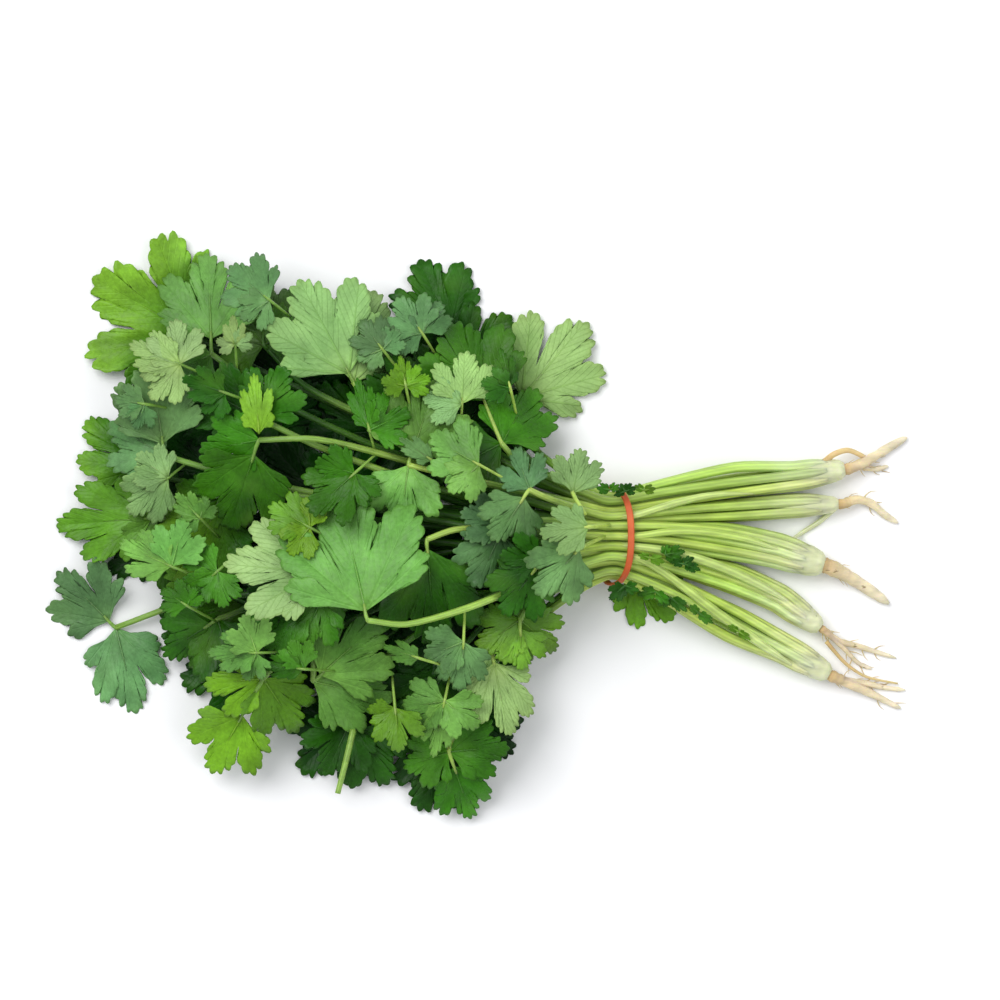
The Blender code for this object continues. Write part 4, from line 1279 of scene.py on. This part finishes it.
def makeScraps(pile, draws):
    for k, leaf in enumerate(scraps):
        small = SideLeaf(leaf, pile, random.Random(seed * 950 + k))
        leafPiece(f"scrap{k + 1:02d}", None, small, None, salts["scrap"] + k, "under")
    # then the dark leaves under the heap, painted shade for its gaps
    for k, (x, y) in enumerate(underCover["spots"]):
        heading, length = draws.uniform(0, 360), draws.uniform(*underCover["length"])
        leaf = Leaf(x, y, 0, 0, underCover["tone"], ())
        base = (x, y) - 0.5 * length * inPlan(heading)
        laid = layFlat(leaf, base, (heading, length, 1.0), underCover["level"], draws)
        leafPiece(f"underCover{k + 1:02d}", None, laid, None, salts["underCover"] + k, "under")


plantLook = {
    # beyond its mouth each stem runs on down the crown: distance back, share of its offset, radius
    "sheath": ((0.8, 0.22, 0.7), (3.0, 0.52, 1.1), (6.5, 0.8, 1.45), (11.0, 0.95, 1.6)),
    "coreShare": 0.97, "whiteOver": 34, "greenFrom": 110, "whitePower": 1.3,
    "brightness": (0.84, 1.15), "red": (0.9, 1.06), "blue": (0.8, 1.1),
}


def stemTones(points, plant):
    # whitish in the crown, yellow green at the neck, greener towards the leaf
    back = (np.array((plant.x, plant.y)) - points[:, :2]) @ inPlan(plant.heading)
    white = np.clip(1 - back / plantLook["whiteOver"], 0, 1)[:, None] ** plantLook["whitePower"]
    leafward = np.clip(-points[:, :1] / plantLook["greenFrom"], 0, 1)
    return between(between(tones["neck"], tones["stem"], leafward), tones["crown"], white)


def makePlants(stems):
    profile = ribProfile()
    for plant, own in splitPlants(stems):
        draws = random.Random(plant.name)
        spine = np.array([crownPoint(plant, back) for back, _ in crown["profile"]])
        radii = [plant.radius * share * plantLook["coreShare"] for _, share in crown["profile"]]
        shades = stemTones(spine, plant)
        parts = [growTube(spine, radii, shades, "stem", steps=4, sides=6)]
        for stem, slot in zip(own, crownSlots(plant, own)):
            points, radii = wholeStem(plant, stem, slot, plantLook["sheath"])
            shade = stemTones(points, plant) * draws.uniform(*plantLook["brightness"])
            red, blue = (draws.uniform(*plantLook[name]) for name in ("red", "blue"))
            shade = shade * (red, 1, blue)
            parts.append(growTube(points, radii, shade, "stem", profile))
        finished("plant" + plant.name.upper(), parts, "plant_" + plant.name)
    bpy.data.objects.remove(profile)


Loose = namedtuple("Loose", "plan radii white")  # how white it is or, below 0, how green
looseStems = (
    Loose(((4, -3.3), (10.5, -3.4), (24, -5.5), (38, -10), (51, -16), (62, -22.5)),
          (1.2, 1.2, 1.5, 1.7, 1.6, 0.4), 0.2),
    Loose(((4, -6.6), (10.5, -6.9), (20, -12), (38, -25.5), (52, -35.5), (62, -42.2)),
          (1.2, 1.2, 1.4, 1.6, 1.5, 0.4), 0.12),
    Loose(((4, 6.6), (10.5, 6.8), (23, 10.6), (36, 13.4), (50, 13.8)),
          (1.2, 1.2, 1.3, 1.1, 0.25), 0.25),
    Loose(((4, 0), (10.5, 0), (26, 1.6), (44, -0.5), (61, -5.8)), (1.2, 1.2, 1.3, 1.3, 0.4), 0.06),
    Loose(((62, -1.0), (66, 1.6), (70.5, 4.4), (75, 8.0), (77, 9.8)), (0.6, 0.8, 0.9, 0.8, 0.6), 0.9),
    Loose(((-86.2, -83.5), (-84.4, -76.5), (-82.8, -70), (-81.2, -63)), (0.95, 1.0, 1.05, 1.05), -0.75),
)
looseLook = {
    "closeSteps": 90,
    "evenOver": 17,  # of those steps, over which its bed is evened out
    "sunk": 0.45, "neckToX": 12, "endDip": (0.5, 1.6),
    "whiteFromX": 42,  # it grows white here as the crowns do
    "whiteOver": 26,
}


def smoothPath(points, at):
    points = np.array(points, float)
    return np.column_stack([smoothThrough(at, np.arange(len(points)), axis) for axis in points.T])


def makeLooseStems(pile):
    profile = ribProfile()
    parts = []
    top, even = neckSlots()[-1][0][2], looseLook["evenOver"]
    for plan, radii, white in looseStems:
        fine = np.linspace(0, len(plan) - 1, 2 * len(plan) + 1)
        radii = np.interp(fine, range(len(plan)), radii)
        plan = smoothPath(plan, fine)
        # it rests in the dips between the stems under it
        close = np.linspace(0, len(plan) - 1, looseLook["closeSteps"])
        along = straightPath(plan, np.arange(len(plan)), close)
        beds = np.pad(pile.under(along), even // 2, mode="edge")
        beds = np.convolve(beds, np.full(even, 1 / even), "valid")
        heights = np.interp(np.arange(len(plan)), close, beds) + looseLook["sunk"] * radii
        if plan[0][0] < neck["rightX"]:
            heights = np.where(plan[:, 0] < looseLook["neckToX"], top, np.minimum(heights, top))
        heights[-2:] -= looseLook["endDip"]
        points = np.column_stack((plan, np.maximum(heights, radii + 0.1)))
        pile.layTube(points, radii)
        shade = between(tones["neck"], tones["crown" if white > 0 else "stem"], abs(white))
        whiter = np.clip((plan[:, :1] - looseLook["whiteFromX"]) / looseLook["whiteOver"], 0, 1)
        shades = between(shade, tones["crown"], whiter ** plantLook["whitePower"])
        parts.append(growTube(points, radii, shades, "stem", profile, steps=4))
    bpy.data.objects.remove(profile)
    finished("looseStems", parts, None)


rootLook = {
    "collar": np.array((0.42, 0.22, 0.06)), "skin": np.array((0.72, 0.55, 0.28)),
    "tip": np.array((0.82, 0.74, 0.55)),
    "collarReach": (2.8, 0.75),  # how soon it fades, and how strong it is
    "steps": 26,
    "start": (-1.5, 0.7),  # how far along the crown the first begins, and how much on each next
    "straight": 3.3, "drop": 1.4, "knobs": (0.9, 1.08), "uneven": (0.86, 1.08),
    "tipGirth": (0.8, 0.3), "hairs": 8, "hairLength": (2.5, 6.5), "hairTurn": (25, 75),
    "hairRadii": (0.256, 0.192, 0.128, 0.048),
    "hairFrom": (3, 20),  # steps of the root
    "hairBend": 0.25, "hairWander": 15, "hairFall": (0.3, 1.2), "hairLeast": 0.25,
    "hairTone": 0.9,
}
# thin rootlets besides the frame's own: each runs through these points
rootlets = {
    "a": (((70.5, 22.6, 6.0), (75.4, 26.6, 6.5), (80.3, 27.9, 5.0), (86.4, 25.2, 2.8)), 1.05, 0.8),
    "d": (((73.0, -34.5, 3.5), (79.3, -41.6, 3.0), (86.0, -46.0, 2.2), (96.5, -48.3, 1.3)), 0.7, 0.3),
}


def rootPath(plant, i, root):
    # from inside the crown through the root's points, clear of the table
    along = inPlan(plant.heading)
    start, each = rootLook["start"]
    collar = np.array((plant.x, plant.y)) + (each * i + start) * along
    plan = [collar, collar + rootLook["straight"] * along, *root.points]
    shares = np.maximum(0, np.arange(len(plan)) - 1) / (len(plan) - 2)
    radii = between(root.radius, root.tip, shares)
    lows = between(crownAxisZ(plant), root.tip, np.minimum(1, rootLook["drop"] * shares))
    heights = np.maximum(lows, radii + offTable)
    fine = np.linspace(0, len(plan) - 1, rootLook["steps"])
    path = smoothPath(np.column_stack((plan, heights)), fine)
    return path, np.interp(fine, range(len(plan)), radii), fine[:, None] / fine[-1]


def growHair(path, draws):
    k = draws.randint(*rootLook["hairFrom"])
    side = draws.choice((-1, 1))
    turn = draws.uniform(*rootLook["hairTurn"]) * side
    head = math.degrees(math.atan2(*(path[k + 1] - path[k - 1])[1::-1]))
    size = draws.uniform(*rootLook["hairLength"])
    spots = [path[k]]
    for step in range(3):
        bent = turn * (1 - rootLook["hairBend"] * step)
        heading = inPlan(head + bent + draws.uniform(-1, 1) * rootLook["hairWander"])
        low = max(rootLook["hairLeast"], spots[-1][2] - draws.uniform(*rootLook["hairFall"]))
        spots.append(np.append(spots[-1][:2] + heading * size / 3, low))
    shades = np.tile(rootLook["skin"] * rootLook["hairTone"], (4, 1))
    return growTube(spots, rootLook["hairRadii"], shades, "root", steps=2, sides=0)


def makeRoots():
    for plant in plants:
        draws = random.Random("root" + plant.name)
        parts = []
        for i, root in enumerate(rootPaths[plant.name]):
            path, girth, share = rootPath(plant, i, root)
            girth = girth * [draws.uniform(*rootLook["knobs"]) for _ in girth]
            girth[-2:] *= rootLook["tipGirth"]
            fade, strength = rootLook["collarReach"]
            shade = between(rootLook["skin"], rootLook["tip"], share)
            shade = between(shade, rootLook["collar"], np.clip(1 - share * fade, 0, 1) * strength)
            shade = shade * np.array([[draws.uniform(*rootLook["uneven"])] for _ in girth])
            path[:, 2] = np.maximum(path[:, 2], girth + offTable)
            parts.append(growTube(path, girth, shade, "root", steps=2))
            parts += [growHair(path, draws) for _ in range(rootLook["hairs"])]
        if plant.name in rootlets:
            points, start, end = rootlets[plant.name]
            fine = np.linspace(0, 1, len(points))
            shade = between(rootLook["collar"], rootLook["skin"], 0.55 + 0.45 * fine[:, None])
            girth = between(start, end, fine)
            parts.append(growTube(points, girth, shade, "root", steps=6, sides=3))
        finished("roots" + plant.name.upper(), parts, "root_" + plant.name)


bandLook = {
    "around": 160, "section": 20,
    "groove": (0.22, 0.28),  # depth, and width as a share of the band's
    "squareness": 3.0, "narrowing": 0.84,
}


def signedPower(values, power):
    return np.sign(values) * np.abs(values) ** power


def bandOutline(angle):
    # round the neck: how far it leans, then its place across and its height
    power = 2 / bandSize["roundness"]
    y, s = signedPower(np.cos(angle), power), signedPower(np.sin(angle), power)
    top, sideX = bandSize["topX"], bandSize["sideX"]
    lean = sideX + top / 2 * s + (top / 2 - sideX) * s * s
    return lean, bandSize["halfWidth"] * y, bandSize["halfHeight"] * (1 + s) + bandSize["thickness"]


def makeBand():
    pickOnly()
    bpy.ops.mesh.primitive_torus_add(
        major_segments=bandLook["around"], minor_segments=bandLook["section"],
        major_radius=1.0, minor_radius=0.25,
    )
    piece = bpy.context.object
    co = pointsOf(piece.data)
    turn = np.arctan2(co[:, 1], co[:, 0])
    ring = np.arctan2(co[:, 2], np.hypot(co[:, 0], co[:, 1]) - 1)
    lean, y, z = bandOutline(turn)
    _, aheadY, aheadZ = (a - b for a, b in zip(bandOutline(turn + 0.01), bandOutline(turn - 0.01)))
    size = np.maximum(np.hypot(aheadY, aheadZ), 1e-9)
    flat = 2 / bandLook["squareness"]
    out, wide = signedPower(np.cos(ring), flat), signedPower(np.sin(ring), flat)
    # a shallow groove on the outside, as where a doubled band lies side by side
    depth, width = bandLook["groove"]
    off = bandSize["thickness"] / 2 * (1 + out) - depth * np.exp(-((wide / width) ** 2)) * (out > 0)
    x = lean + bandSize["width"] * bandLook["narrowing"] / 2 * wide
    points = np.column_stack((x, y + aheadZ / size * off, z - aheadY / size * off))
    points[:, 2] -= points[:, 2].min()
    setPoints(piece.data, points)
    piece.data.materials.append(materials["rubber"])
    mergeSeams(piece)
    finished("rubberBand", [piece], "rubber_band")


shot = {"centre": (-33.5, 11.7), "width": 325.0, "height": 2500.0, "level": 15.0, "sensor": 36.0}
lamps = {  # place in metres, size and power
    "softBox": ((-0.9, 0.9, 1.9), 1.6, 42.0), "fillBox": ((1.2, -0.2, 1.8), 1.6, 12.0),
}
studio = {"table": (0.93, 0.93, 0.94, 1), "air": (0.95, 0.97, 1.0, 1), "strength": 0.5}


def makeStage():
    bpy.ops.mesh.primitive_plane_add(size=6.0, location=(0, 0, 0))
    table = bpy.context.object
    table.name = "table"
    white, tree, shader, _ = startMaterial("paleTable")
    plug(tree, shader, {"Base Color": studio["table"], "Roughness": 0.9, "Specular IOR Level": 0.1})
    table.data.materials.append(white)

    x, y = (c * mm for c in shot["centre"])
    above = (x, y, (shot["height"] + shot["level"]) * mm)
    bpy.ops.object.camera_add(location=above, rotation=(0, 0, 0))
    camera = bpy.context.object
    camera.data.sensor_width = shot["sensor"]
    camera.data.lens = shot["sensor"] * shot["height"] / shot["width"]
    camera.data.clip_end = 20.0
    bpy.context.scene.camera = camera

    for name, (place, size, power) in lamps.items():
        bpy.ops.object.light_add(type="AREA", location=place)
        light = bpy.context.object
        light.name = name
        light.data.size = size
        light.data.energy = power
        x, y, z = place
        tilt = math.atan2(math.hypot(x, y), z)
        light.rotation_euler = (tilt, 0, math.atan2(-y, -x) - math.pi / 2)  # towards the bunch
    world = bpy.data.worlds.new("studio")
    world.use_nodes = True
    back = world.node_tree.nodes["Background"]
    plug(world.node_tree, back, {"Color": studio["air"], "Strength": studio["strength"]})
    bpy.context.scene.world = world
    bpy.context.scene.view_settings.view_transform = "Standard"


stems, sides, pile = layBunch()
meanTop = meanAround(pile)
print(f"{len(stems)} stems laid")
grids = flatBlades()
makeLeaves(stems, sides)
print("leaves made")
makePlants(stems)
makeLooseStems(pile)
draws = random.Random(seed * 31)
makeSmallLeaves(pile, draws)
makeScraps(pile, draws)
for template, *_ in grids.values():
    bpy.data.objects.remove(template)
print("plants made")
makeRoots()
makeBand()
makeStage()
print("roots, band and stage made")
